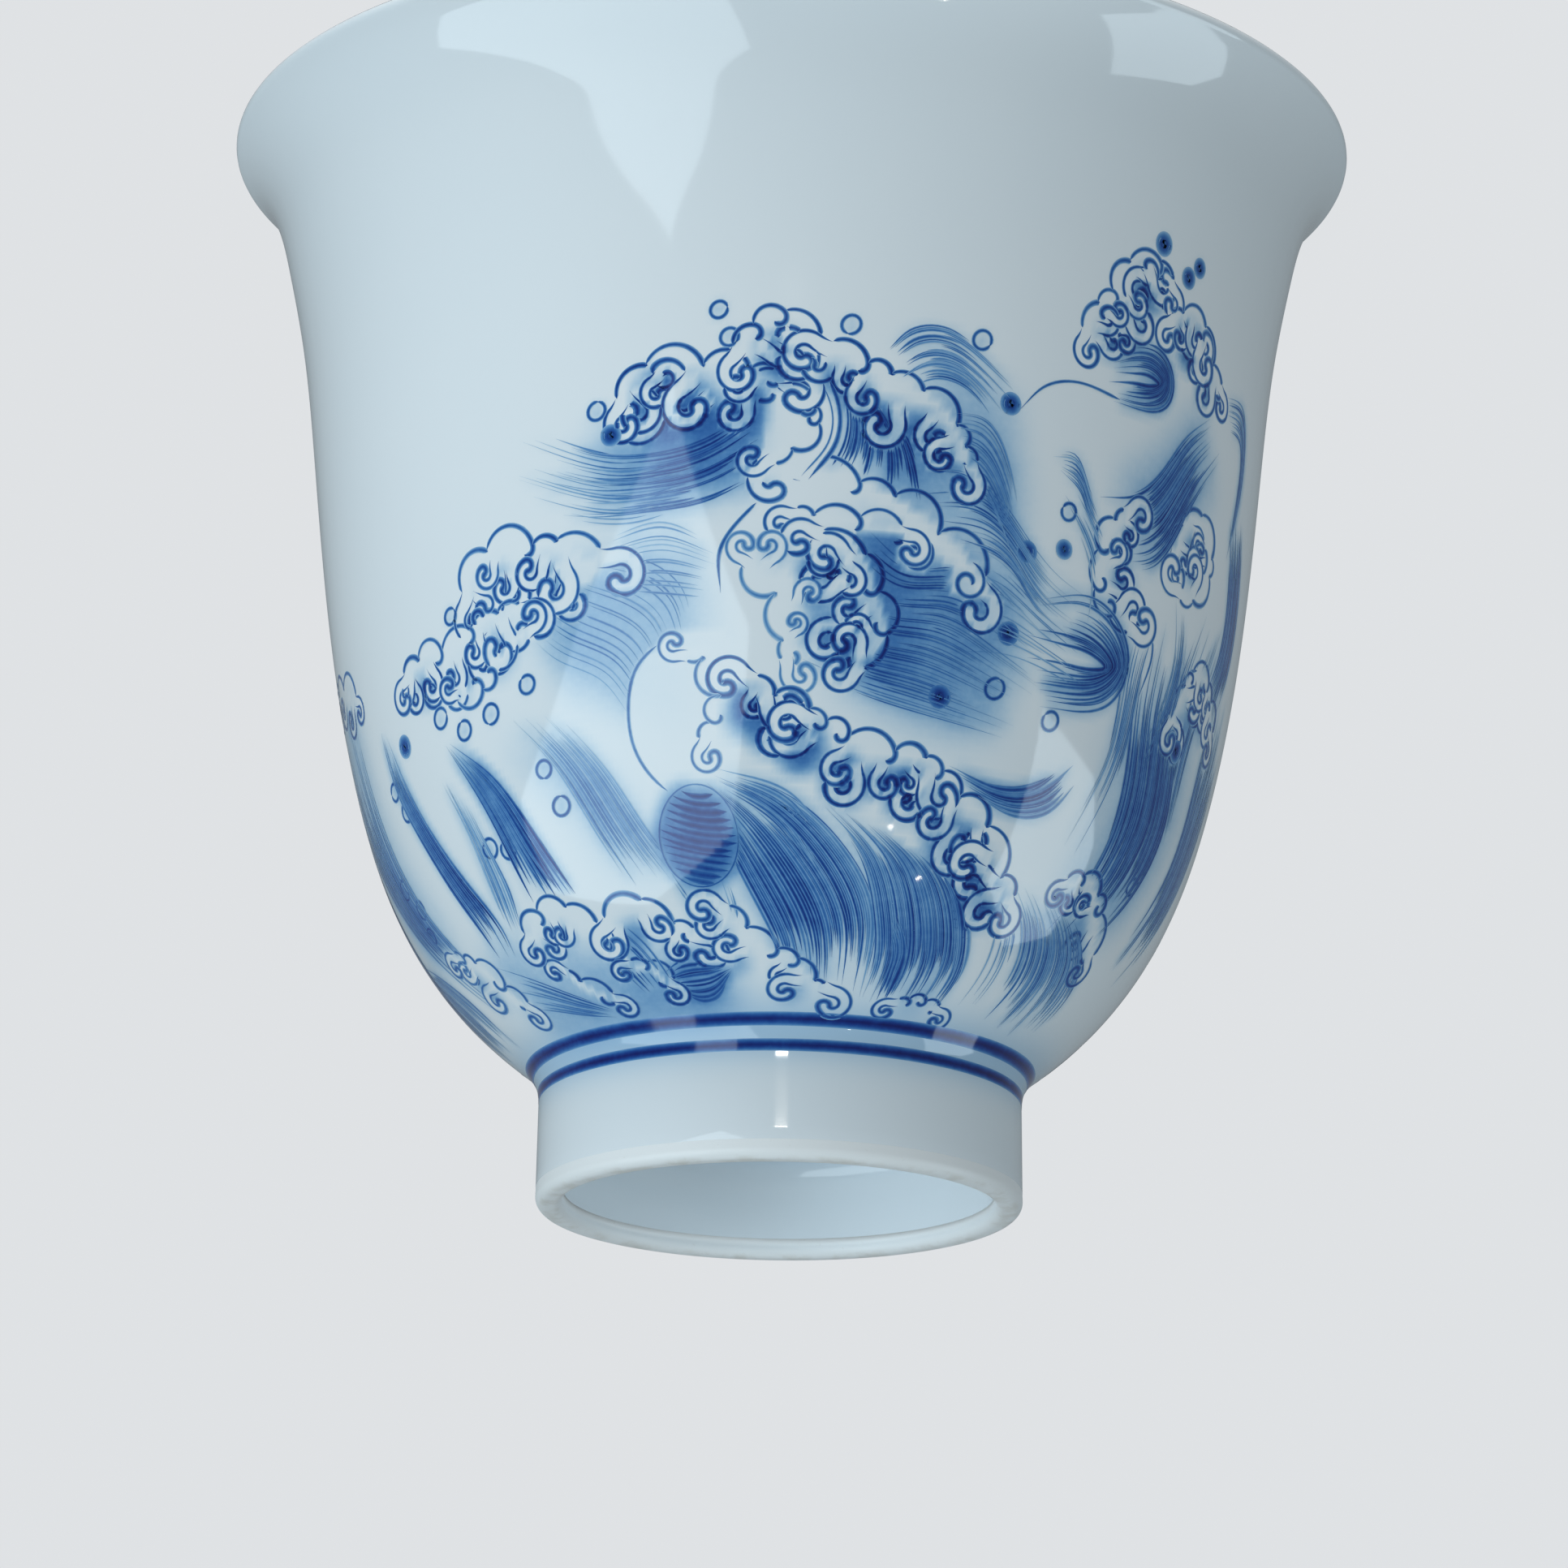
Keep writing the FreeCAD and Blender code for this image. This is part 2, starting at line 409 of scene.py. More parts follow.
def respaced(path: Array, spacing: float) -> Array:
    """The same path with evenly spaced points.

    Args:
        path: Points of the path.
        spacing: Distance wanted between points.

    Returns:
        The new points.
    """
    far = along(path)
    new = np.linspace(0, far[-1], max(2, int(round(far[-1] / spacing)) + 1))
    return points_at(path, far, new)


@dataclass
class CupOutline:
    """Half of the cup's section, in millimetres from the axis and above the table."""

    height: float
    rim_radius: float
    foot_radius: float
    foot_height: float
    cove_radius: float = 2.9
    cove_turn: float = 54.0
    lip_radius: float = 0.45
    lip_angle: float = 50.0
    glaze: float = 0.25
    wall_belly: float = 2.6
    wall_throat: float = 1.35
    base_thickness: float = 3.4
    floor_radius: float = 7.5
    bare_rim: float = 1.1
    foot_wall: float = 1.6
    foot_flare: float = 0.07
    foot_round: float = 0.6
    well_draft: float = 0.3

    @classmethod
    def from_frame(cls) -> "CupOutline":
        """Reads the overall sizes from the CAD pieces.

        Returns:
            The outline with those sizes.
        """
        _, cup_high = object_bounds()
        bowl_low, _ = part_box("bowl_body")
        _, foot_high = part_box("foot_ring")
        flare = cls.foot_flare
        return cls(height=cup_high.z / MM, rim_radius=cup_high.x / MM,
            foot_radius=foot_high.x / MM - flare, foot_height=bowl_low.z / MM)

    def lip_round(self, first: float, last: float, inset: float, count: int) -> Array:
        """Points on the lip's round edge.

        Args:
            first: Angle to start at, from the outside round to the inside, in degrees.
            last: Angle to end at.
            inset: How far inside the surface.
            count: How many points.

        Returns:
            The points.
        """
        angle = np.radians(np.linspace(first, last, count) - self.lip_angle)
        radius = self.lip_radius - inset
        centre = np.array([self.rim_radius, self.height]) - self.lip_radius
        return centre + radius * facing(angle)

    def stations(self) -> list:
        """The points that the outside runs through.

        Returns:
            The points, from the cove to the lip.
        """
        turn = math.radians(self.cove_turn)
        foot, rim, base, top = self.foot_radius, self.rim_radius, self.foot_height, self.height
        end = (foot + self.cove_radius * (1 - math.cos(turn)), base + self.cove_radius * math.sin(turn))
        belly = rim - 8.45
        spread = belly - foot
        low = (foot + 0.495 * spread, base + 6.5)
        turned = (foot + 0.772 * spread, base + 11.5)
        full = (belly, base + 19.1)
        waist = (rim - 5.4, top - 20.35)
        middle = ((full[0] + waist[0]) / 2 + 0.36, (full[1] + waist[1]) / 2)
        upper = [(rim - 4.46, top - 12.85), (rim - 3.4, top - 7.55), (rim - 2.05, top - 3.25)]
        lip = tuple(self.lip_round(0, 0, 0, 1)[0])
        return [end, low, turned, full, middle, waist, *upper, lip]

    def cove(self, spacing: float) -> Array:
        """The hollow curve from the foot into the belly.

        Args:
            spacing: Distance wanted between points.

        Returns:
            The points, upwards.
        """
        angle = np.linspace(0, math.radians(self.cove_turn), max(3, int(self.cove_radius / spacing)))
        centre = np.array([self.foot_radius + self.cove_radius, self.foot_height])
        return centre + self.cove_radius * np.stack([-np.cos(angle), np.sin(angle)], 1)

    def wall(self, spacing: float) -> Array:
        """The outside from the cove's end to the lip's edge."""
        turn, lean = math.radians(self.cove_turn), math.radians(self.lip_angle)
        return smooth_line(self.stations(), (math.sin(turn), math.cos(turn)), (math.sin(lean),
            math.cos(lean)), spacing)

    def foot_side(self, low: float, high: float, spacing: float) -> Array:
        """The foot's outside between two heights."""
        up = np.linspace(low, high, max(2, int((high - low) / spacing)))
        return np.stack([self.foot_radius + self.foot_flare * (1 - up / self.foot_height), up], 1)

    def well_radius(self, up: float) -> float:
        """The well's radius at a height."""
        mouth = self.foot_radius + self.foot_flare - self.foot_wall
        return mouth - self.well_draft * up / self.foot_height

    def inside(self, spacing: float) -> Array:
        """The drinking side.

        Args:
            spacing: Distance wanted between points.

        Returns:
            The points, from the lip's edge to the axis.
        """
        dense = self.wall(FINE)
        stations = self.stations()[1:-1]
        lean = math.radians(self.lip_angle)
        points = [tuple(self.lip_round(180, 180, 0, 1)[0])]
        for number in reversed(range(len(stations))):
            near = int(np.argmin(np.hypot(*(dense - stations[number]).T)))
            step = dense[near + 1] - dense[near - 1]
            inward = np.array([-step[1], step[0]]) / np.hypot(*step)
            share = number / (len(stations) - 1)
            wall = self.wall_belly + (self.wall_throat - self.wall_belly) * share
            points.append(tuple(np.array(stations[number]) + inward * wall))
        floor = self.foot_height + self.base_thickness
        points.append((self.floor_radius, floor))
        side = smooth_line(points, (-math.sin(lean), -math.cos(lean)), (-1, 0), spacing)
        middle = np.linspace(self.floor_radius, 0, 12)[1:]
        return np.concatenate([side, np.stack([middle, 0 * middle + floor], 1)])


def shifted(path: Array, depth: float) -> Array:
    """A path moved sideways into the clay, to its left as it runs.

    Args:
        path: Points of the path.
        depth: How far, in millimetres.

    Returns:
        The moved points.
    """
    step = np.gradient(path, axis=0)
    step /= np.hypot(*step.T)[:, None]
    moved = path + depth * np.stack([-step[:, 1], step[:, 0]], 1)
    moved[:, 0] = np.maximum(moved[:, 0], 0.0)
    return moved


# ---- turned pieces -------------------------------------------------------------------
def new_object(name: str, mesh: Mesh) -> Piece:
    """Puts a mesh into the scene."""
    made = bpy.data.objects.new(name, mesh)
    bpy.context.scene.collection.objects.link(made)
    return made


def point_chain(name: str, points: Array, edges: Array) -> Piece:
    """An object that only has points and edges, for a tree to read.

    Args:
        name: Its name.
        points: Three numbers for each point, in metres.
        edges: Pairs of point numbers.

    Returns:
        The object.
    """
    mesh = bpy.data.meshes.new(name)
    mesh.vertices.add(len(points))
    mesh.vertices.foreach_set("co", np.ascontiguousarray(points, np.float32).ravel())
    mesh.edges.add(len(edges))
    mesh.edges.foreach_set("vertices", np.ascontiguousarray(edges, np.int32).ravel())
    return new_object(name, mesh)


def read_all(items: bpy.types.bpy_prop_collection, key: str, width: int = 1,
             kind: type = np.float32) -> Array:
    """Reads one property of every item of a mesh.

    Args:
        items: The mesh's points, corners, faces or layer.
        key: The property.
        width: How many numbers it has.
        kind: Kind of number.

    Returns:
        One row for each item, or one number where the width is 1.
    """
    values = np.zeros(len(items) * width, kind)
    items.foreach_get(key, values)
    return values.reshape(-1, width) if width > 1 else values


def store(mesh: Mesh, name: str, values: Array) -> None:
    """Stores a number on every point of a mesh."""
    layer = mesh.attributes.new(name, "FLOAT", "POINT")
    layer.data.foreach_set("value", values.astype(np.float32))


def open_tree(name: str, inputs: dict) -> tuple[Bench, bpy.types.NodeOutputs]:
    """Starts a geometry tree.

    Args:
        name: Its name.
        inputs: The kind of each named input, beside its geometry and its finish.

    Returns:
        The bench for its nodes, and its inputs' sockets.
    """
    tree = bpy.data.node_groups.new(name, "GeometryNodeTree")
    for label, kind in {"Geometry": "Geometry", **inputs, "Finish": "Material"}.items():
        tree.interface.new_socket(name=label, in_out="INPUT", socket_type=f"NodeSocket{kind}")
    tree.interface.new_socket(name="Geometry", in_out="OUTPUT", socket_type="NodeSocketGeometry")
    bench = Bench(tree)
    return bench, bench.add("NodeGroupInput").outputs


def close_tree(bench: Bench, shape: Socket, finish: Socket) -> None:
    """Ends a geometry tree with smooth shading, Realize Instances and Set Material.

    Args:
        bench: The bench for its nodes.
        shape: The geometry so far.
        finish: The input that carries the material.
    """
    smooth = bench.shape("SetShadeSmooth", {"Geometry": shape})
    real = bench.shape("RealizeInstances", {"Geometry": smooth})
    dressed = bench.shape("SetMaterial", {"Geometry": real, "Material": finish})
    bench.add("NodeGroupOutput", None, {"Geometry": dressed})


def section_line(name: str, section: Array) -> Piece:
    """A section as a chain of points, for a tree to read.

    Args:
        name: Name of the object.
        section: Distances from the axis and above the table, in millimetres.

    Returns:
        The object.
    """
    points = np.stack([section[:, 0], 0 * section[:, 0], section[:, 1]], 1) * MM
    chain = np.arange(len(points) - 1)
    return point_chain(name, points, np.stack([chain, chain + 1], 1))


def run_tree(base: Piece, tree: bpy.types.NodeTree, inputs: dict, name: str) -> Piece:
    """Runs a geometry tree on an object and keeps the result as a plain mesh.

    Args:
        base: The object that the tree starts from; it is removed afterwards.
        tree: The geometry tree.
        inputs: Values for its named inputs.
        name: Name of the finished piece.

    Returns:
        The finished piece, without a modifier.
    """
    modifier = base.modifiers.new("Shape", "NODES")
    modifier.node_group = tree
    for item in tree.interface.items_tree:
        if item.item_type == "SOCKET" and item.in_out == "INPUT" and item.name in inputs:
            modifier[item.identifier] = inputs[item.name]
    depsgraph = bpy.context.evaluated_depsgraph_get()
    shape = bpy.data.meshes.new_from_object(base.evaluated_get(depsgraph))
    bpy.data.objects.remove(base)
    shape.name = name
    return new_object(name, shape)


def turn_outwards(mesh: Mesh, normals: Array, counted: Array) -> None:
    """Flips a mesh's faces if most of them look against the wanted normals.

    Args:
        mesh: The mesh.
        normals: The wanted normal at each point.
        counted: Which points are asked.
    """
    first = read_all(mesh.polygons, "loop_start", 1, np.int32)
    at = read_all(mesh.loops, "vertex_index", 1, np.int32)[first]
    agree = (read_all(mesh.polygons, "normal", 3) * normals[at]).sum(1)
    if np.sign(agree[counted[at]]).sum() < 0:
        mesh.flip_normals()


class WheelTree:
    """Geometry tree that turns a section about the cup's axis, as the wheel does."""

    def __init__(self) -> None:
        """Builds the tree."""
        bench, given = open_tree("Turned on the wheel", {"Rows": "Int", "Turns": "Int", "Weld": "Float"})
        rows, turns = Value(bench, given["Rows"]), Value(bench, given["Turns"])
        grid = bench.add("GeometryNodeMeshGrid", None, {"Size X": 1.0, "Size Y": 1.0,
            "Vertices X": turns + 1.0, "Vertices Y": rows}).outputs
        round_, up, _ = bench.split(grid["UV Map"])
        number = (up * (rows - 1.0)).then("ROUND")
        section = bench.wire("GeometryNodeSampleIndex", {"data_type": "FLOAT_VECTOR", "domain": "POINT"},
            {"Geometry": given["Geometry"], "Index": number, "Value": bench.shape("InputPosition")})
        reach, _, height = bench.split(section)
        bearing = round_ * math.tau
        place = bench.join(reach * bearing.then("SINE"), -(reach * bearing.then("COSINE")), height)
        marked = bench.wire("GeometryNodeStoreNamedAttribute", {"data_type": "INT", "domain": "POINT"},
            {"Geometry": grid["Mesh"], "Name": "row", "Value": number})
        moved = bench.shape("SetPosition", {"Geometry": marked, "Position": place})
        welded = bench.shape("MergeByDistance", {"Geometry": moved, "Distance": given["Weld"]})
        close_tree(bench, welded, given["Finish"])
        self.tree = bench.tree

    def turn(self, name: str, face: Array, hidden: Array, turns: int,
             finish: Finish) -> Piece:
        """Turns one piece.

        Args:
            name: The piece's name.
            face: The section's visible side, in millimetres.
            hidden: The section's other side, which closes it inside the clay.
            turns: How many steps round the cup.
            finish: The piece's material.

        Returns:
            The piece, with smooth normals that follow the section.
        """
        section = np.concatenate([face, hidden, face[:1]])
        piece = run_tree(section_line(name, section), self.tree, {"Rows": len(section), "Turns": turns,
            "Weld": 1e-7, "Finish": finish}, name)
        mesh = piece.data
        step = np.gradient(face, axis=0)
        step /= np.maximum(np.hypot(*step.T), 1e-9)[:, None]
        front = np.stack([step[:, 1], -step[:, 0]], 1)
        back = -np.resize(front[len(front) // 2], (len(hidden), 2))
        flat = np.concatenate([front, back, front[:1]])
        co = read_all(mesh.vertices, "co", 3)
        rows = read_all(mesh.attributes["row"].data, "value", 1, np.int32)
        reach = np.maximum(np.hypot(co[:, 0], co[:, 1]), 1e-9)
        normals = np.stack([flat[rows, 0] * co[:, 0] / reach, flat[rows, 0] * co[:, 1] / reach,
            flat[rows, 1]], 1)
        poles = reach < 1e-8
        normals[poles, :2] = 0
        normals[poles, 2] = np.sign(flat[rows[poles], 1])
        turn_outwards(mesh, normals, rows < len(face))
        mesh.attributes.remove(mesh.attributes["row"])
        mesh.normals_split_custom_set_from_vertices(normals.tolist())
        return piece


# ---- painting: the flat plan ---------------------------------------------------------
@dataclass
class Wall:
    """The bowl's outside unrolled: distance round at mid girth, and distance up the wall."""

    outline: CupOutline

    def __post_init__(self) -> None:
        """Measures the wall from the foot's bare edge to the lip."""
        base = self.outline
        foot = base.foot_side(base.bare_rim, base.foot_height, FINE)
        cove, wall = base.cove(0.02), base.wall(FINE)
        self.path = np.concatenate([foot[:-1], cove[:-1], wall])
        far = along(self.path)
        self.start = float(far[len(foot) - 1])
        self.rise = far - self.start

    def girth(self, rise: Array) -> Array:
        """The cup's radius at a distance up the wall."""
        return np.interp(rise, self.rise, self.path[:, 0])

    def rise_at(self, height: Array) -> Array:
        """Distance up the wall of points given by their height above the table."""
        return np.interp(height, self.path[:, 1], self.rise)

    def spot(self, centre: Array, offset: Array) -> Array:
        """Plan points that lie at true offsets round a centre.

        Args:
            centre: Plan point.
            offset: Distances round and up from it, in millimetres.

        Returns:
            The plan points.
        """
        rise = centre[1] + offset[:, 1]
        stretch = MID_GIRTH / self.girth(rise)
        return np.stack([centre[0] + offset[:, 0] * stretch, rise], 1)


@dataclass
class Stroke:
    """One brush stroke: its path on the plan, half widths in millimetres, and its cobalt."""

    path: Array
    half: Array | float
    ink: Array | float

    def __post_init__(self) -> None:
        """Spreads a single width or amount of cobalt over the whole path."""
        self.half = np.full(len(self.path), self.half)
        self.ink = np.full(len(self.path), self.ink)


@dataclass
class Tone:
    """Thin wash that is laid along a path."""

    path: Array
    amount: float
    spread: float


@dataclass
class Sheet:
    """What one motif lays on the wall, in plan coordinates."""

    strokes: list = field(default_factory=list)
    tones: list = field(default_factory=list)
    grounds: list = field(default_factory=list)


def eased(points: Array, spacing: float = 0.35) -> Array:
    """A rounded path through a few plan points.

    Args:
        points: The plan points.
        spacing: Distance wanted between the new ones.

    Returns:
        The path.
    """
    p = np.asarray(points, float)
    if len(p) < 3:
        return respaced(p, spacing)
    first, last = p[1] - p[0], p[-1] - p[-2]
    curve = smooth_line(p, first / np.hypot(*first), last / np.hypot(*last), spacing / 2)
    return respaced(curve, spacing)


def taper(count: int, start: float, end: float) -> Array:
    """Brush pressure along a stroke.

    Args:
        count: How many points the stroke has.
        start: Share of the stroke over which the brush comes down.
        end: Share over which it lifts.

    Returns:
        Pressure at each point, 0 to 1.
    """
    t = np.linspace(0, 1, count)
    down = np.clip(t / max(start, 1e-3), 0, 1)
    up = np.clip((1 - t) / max(end, 1e-3), 0, 1)
    return np.sin(down * math.pi / 2) * np.sin(up * math.pi / 2)


class Hand(Enum):
    """Which way a curl winds inwards."""

    LEFT = 1
    RIGHT = -1


@dataclass
class Placing:
    """How far a group of motifs is turned round the cup, in degrees, and raised."""

    turn: float = 0.0
    lift: float = 0.0


@dataclass
class Site:
    """The wall, where a motif's group stands on it, and the unevenness of the hand."""

    wall: Wall
    place: Placing
    rng: np.random.Generator

    def put(self, points: list) -> Array:
        """Plan points from pairs of bearing in degrees and distance up the wall."""
        p = np.array(points, float).reshape(-1, 2) + (self.place.turn, self.place.lift)
        return np.stack([np.radians(p[:, 0]) * MID_GIRTH, p[:, 1]], 1)


def evened(one: Array, two: Array, steps: int) -> list:
    """Two guide lines with the same number of points, spread evenly over each."""
    t = np.linspace(0, 1, steps)
    return [points_at(side, along(side) / along(side)[-1], t) for side in (one, two)]


@dataclass
class Swell:
    """Water drawn with many fine lines that run between two guide lines."""

    one: list
    two: list
    count: int = 14
    weight: float = 0.075
    ink: float = 0.7
    tint: float = 0.2
    heavy: float = 0.6
    ragged: float = 0.22
    spread: float = 0.30
    edge: float = 0.0    # how much bolder the two outer lines are, which then run unbroken

    crowding = 1.35      # lines drawn for each one that is counted
    wander = 0.42        # how far a line strays, as a share of the gap between two
    fade = 0.42          # share of its length over which a line's pressure falls off
    lightest = 0.35      # least pressure of a line

    def lay(self, site: Site) -> list:
        """Draws the motif.

        Args:
            site: Where it is drawn.

        Returns:
            What is laid on the wall.
        """
        sheet, rng = Sheet(), site.rng
        one, two = (eased(site.put(side), 0.25) for side in (self.one, self.two))
        steps = max(8, int(max(along(one)[-1], along(two)[-1]) / 0.3))
        sides = evened(one, two, steps)
        lines = int(self.count * self.crowding)
        for number in range(lines):
            share = (number + 0.5 + rng.uniform(-self.wander, self.wander)) / lines
            share = min(max(share, 0.0), 1.0)
            path = sides[0] * (1 - share) + sides[1] * share
            outer = self.edge > 0 and (number in (0, lines - 1))
            cut = 0.02 if outer else self.ragged
            begin = int(rng.uniform(0, cut) * steps)
            finish = steps - int(rng.uniform(0, cut * (0.9 if self.heavy > 0.5 else 1)) * steps)
            run = path[begin:finish]
            if len(run) < 6:
                continue
            along_run = np.linspace(begin / steps, finish / steps, len(run))
            press = np.exp(-((along_run - self.heavy) / self.fade) ** 2)
            load = self.lightest + (1 - self.lightest) * press
            body = taper(len(run), 0.35, 0.3) * load
            width = self.weight * rng.uniform(0.6, 1.35) * (1 + self.edge * outer)
            ink = self.ink * rng.uniform(0.45, 1.35)
            sheet.strokes.append(Stroke(run, width * body, ink * load))
            if self.tint > 0:
                sheet.tones.append(Tone(run[2:-2], self.tint * rng.uniform(0.2, 1.5), self.spread))
        return [sheet]


@dataclass
class Sweep:
    """One long line with pressure that comes and goes."""

    path: list
    weight: float = 0.12
    ink: float = 0.9
    start: float = 0.25
    end: float = 0.35

    def lay(self, site: Site) -> list:
        """Draws the line.

        Args:
            site: Where it is drawn.

        Returns:
            What is laid on the wall.
        """
        path = eased(site.put(self.path), 0.3)
        wobble = 1 + 0.12 * np.sin(np.linspace(0, site.rng.uniform(4, 9), len(path)))
        half = self.weight * taper(len(path), self.start, self.end) * wobble
        return [Sheet([Stroke(path, half, self.ink)])]


@dataclass
class Wash:
    """A thin tint alone, laid between two guide lines."""

    one: list
    two: list
    amount: float = 0.3
    spread: float = 1.0

    def lay(self, site: Site) -> list:
        """Lays the tint.

        Args:
            site: Where it is drawn.

        Returns:
            What is laid on the wall.
        """
        one, two = (eased(site.put(side), 0.3) for side in (self.one, self.two))
        steps = max(len(one), len(two))
        ends = [respaced(side, along(side)[-1] / 8)[:8] for side in (one, two)]
        gap = float(np.max(np.hypot(*(ends[0] - ends[1]).T)))
        lines = max(2, int(gap / (self.spread * 0.9)))
        sheet, sides = Sheet(), evened(one, two, steps)
        for share in np.linspace(0, 1, lines):
            path = sides[0] * (1 - share) + sides[1] * share
            amount = self.amount * site.rng.uniform(0.7, 1.3)
            sheet.tones.append(Tone(path, amount, self.spread))
        return [sheet]


def hooked(end: Array, heading: float, radius: float, turn: float, hand: int,
           tighten: float = 0.6) -> Array:
    """The points of a line that goes on from an end and winds in.

    Args:
        end: Offset where it starts, in millimetres.
        heading: Direction it starts in, in radians.
        radius: Radius of its bend at the start.
        turn: How far it turns, in radians.
        hand: 1 to wind anticlockwise, -1 clockwise.
        tighten: Share of the radius that is lost on the way.

    Returns:
        The offsets, without the end itself.
    """
    count = max(4, int(turn * radius / 0.07))
    t = (np.arange(count) + 0.5) / count
    angle = heading + hand * turn * t
    reach = (radius * (1 - tighten * t) * turn / count)[:, None]
    return end + np.cumsum(facing(angle) * reach, axis=0)


def finger(wall: Wall, root: Array, heading: float, size: float, hand: int,
           weight: float, ink: float) -> Sheet:
    """A white finger of foam, hooked over at its tip.

    Args:
        wall: The unrolled wall.
        root: Plan point it grows from.
        heading: Direction it grows in, in radians.
        size: Its size in millimetres.
        hand: 1 if it hooks anticlockwise, -1 clockwise.
        weight: Half width of its outline.
        ink: Cobalt of its outline.

    Returns:
        What is laid on the wall.
    """
    start = np.zeros(2)
    neck = hooked(start, heading, size * 2.2, 0.35, -hand, 0.0)
    bend = hooked(neck[-1], heading - hand * 0.35, size * 0.82, 4.4, hand, 0.5)
    line = np.concatenate([start[None], neck, bend])
    step = np.gradient(line, axis=0)
    step /= np.hypot(*step.T)[:, None]
    side = np.stack([-step[:, 1], step[:, 0]], 1)
    t = np.linspace(0, 1, len(line))
    half = (size * 0.31 * (1.25 - 0.6 * t + 0.35 * t ** 4))[:, None]
    ahead = math.atan2(step[-1, 1], step[-1, 0])
    cap = np.linspace(math.pi / 2, -math.pi / 2, 9)[1:-1] + ahead
    tip = line[-1] + facing(cap) * half[-1]
    edge = np.concatenate([line + side * half, tip, (line - side * half)[::-1]])
    path = wall.spot(root, edge)
    press = weight * (0.75 + 0.6 * np.exp(-((np.linspace(-1, 1, len(path))) / 0.35) ** 2))
    stroke = Stroke(path, press * taper(len(path), 0.14, 0.14), ink)
    return Sheet([stroke], [], [path[::2]])


@dataclass
class FoamBank:
    """A bank of foam: a scalloped back over white ground, with hooked fingers inside it."""

    line: list
    lobe: float = 1.2
    rows: int = 2
    depth: float = 1.3
    under: float = -1.0
    curls: float = 0.5
    weight: float = 0.1
    ink: float = 1.0
    shade: float = 0.5

    def scallops(self, site: Site, path: Array) -> list:
        """Draws the back as a row of round lobes, some of which hook in at their end.

        Args:
            site: Where they are drawn.
            path: The line the lobes stand on.

        Returns:
            The strokes.
        """
        wall, rng, far = site.wall, site.rng, along(path)
        cusps = [0.0]
        while cusps[-1] < far[-1] - self.lobe * 0.9:
            here = np.interp(cusps[-1], far, path[:, 1])
            stretch = MID_GIRTH / float(wall.girth(here))
            cusps.append(cusps[-1] + self.lobe * rng.uniform(0.9, 2.5) * stretch ** 0.7)
        cusps[-1] = far[-1]
        points = points_at(path, far, cusps)
        strokes, hand = [], -1 if self.under < 0 else 1
        for first, last in zip(points, points[1:]):
            scale = np.array([float(wall.girth((first[1] + last[1]) / 2)) / MID_GIRTH, 1])
            chord = (last - first) * scale
            length = float(np.hypot(*chord))
            if length < 0.3:
                continue
            half = rng.uniform(0.8, 1.45)
            radius = length / (2 * math.sin(half))
            heading = math.atan2(chord[1], chord[0]) - hand * half
            arc = hooked(np.zeros(2), heading, radius, half * 2, hand, 0.0)
            turn = rng.uniform(2.4, 4.2) if rng.uniform() < self.curls else 0.35
            tail = hooked(arc[-1], heading + hand * half * 2, min(radius, 1.0) * 0.55, turn, hand)
            edge = wall.spot(first, np.concatenate([np.zeros((1, 2)), arc, tail]))
            press = self.weight * rng.uniform(0.85, 1.15) * taper(len(edge), 0.1, 0.12)
            strokes.append(Stroke(edge, press * np.linspace(0.7, 1.3, len(edge)),
                self.ink * rng.uniform(0.85, 1.1)))
        return strokes

    def lay(self, site: Site) -> list:
        """Draws the foam.

        Args:
            site: Where it is drawn.

        Returns:
            What is laid on the wall, from the back to the front.
        """
        wall, rng = site.wall, site.rng
        path = eased(site.put(self.line), 0.2)
        far, step = along(path), np.gradient(path, axis=0)
        step /= np.hypot(*step.T)[:, None]
        side = np.stack([-step[:, 1], step[:, 0]], 1) * self.under
        side[:, 0] *= MID_GIRTH / wall.girth(path[:, 1])
        body = np.sin(math.pi * np.clip(far / far[-1], 0.03, 0.97)) ** 0.5
        deep = self.depth * self.lobe * max(self.rows - 1, 0.5) * body
        inner = path + side * deep[:, None]
        back = Sheet(self.scallops(site, path), [], [np.concatenate([path, inner[::-1]])[::3]])
        front = []
        for row in range(self.rows - 1, 0, -1):
            share = row / max(self.rows - 1, 1)
            spot = rng.uniform(0.3, 1.0) * self.lobe
            while spot < far[-1] - 0.4 * self.lobe:
                size = self.lobe * rng.uniform(0.5, 0.98)
                at, way = points_at(path, far, spot), points_at(side, far, spot)
                reach = float(np.interp(spot, far, deep)) * share * rng.uniform(0.45, 0.75)
                root = at + way * reach
                heading = math.atan2(way[1], way[0]) + rng.normal(0, 0.55)
                hand = 1 if rng.uniform() < 0.5 else -1
                middle = root + way * size * 1.1
                back.tones.append(Tone(middle[None], self.shade * 1.6, size * 0.55))
                front.append(finger(wall, root, heading, size, hand, self.weight,
                    self.ink * rng.uniform(0.9, 1.15)))
                spot += size * rng.uniform(1.7, 2.7) * MID_GIRTH / float(wall.girth(at[1]))
        for end, sign in ((0, -1), (-1, 1)):
            heading = math.atan2(step[end, 1] * sign, step[end, 0] * sign)
            bend = int(np.sign(self.under) * sign)
            front.append(finger(wall, path[end] - step[end] * sign * 0.3, heading,
                self.lobe * rng.uniform(0.7, 0.95), bend, self.weight, self.ink))
        return [back] + front


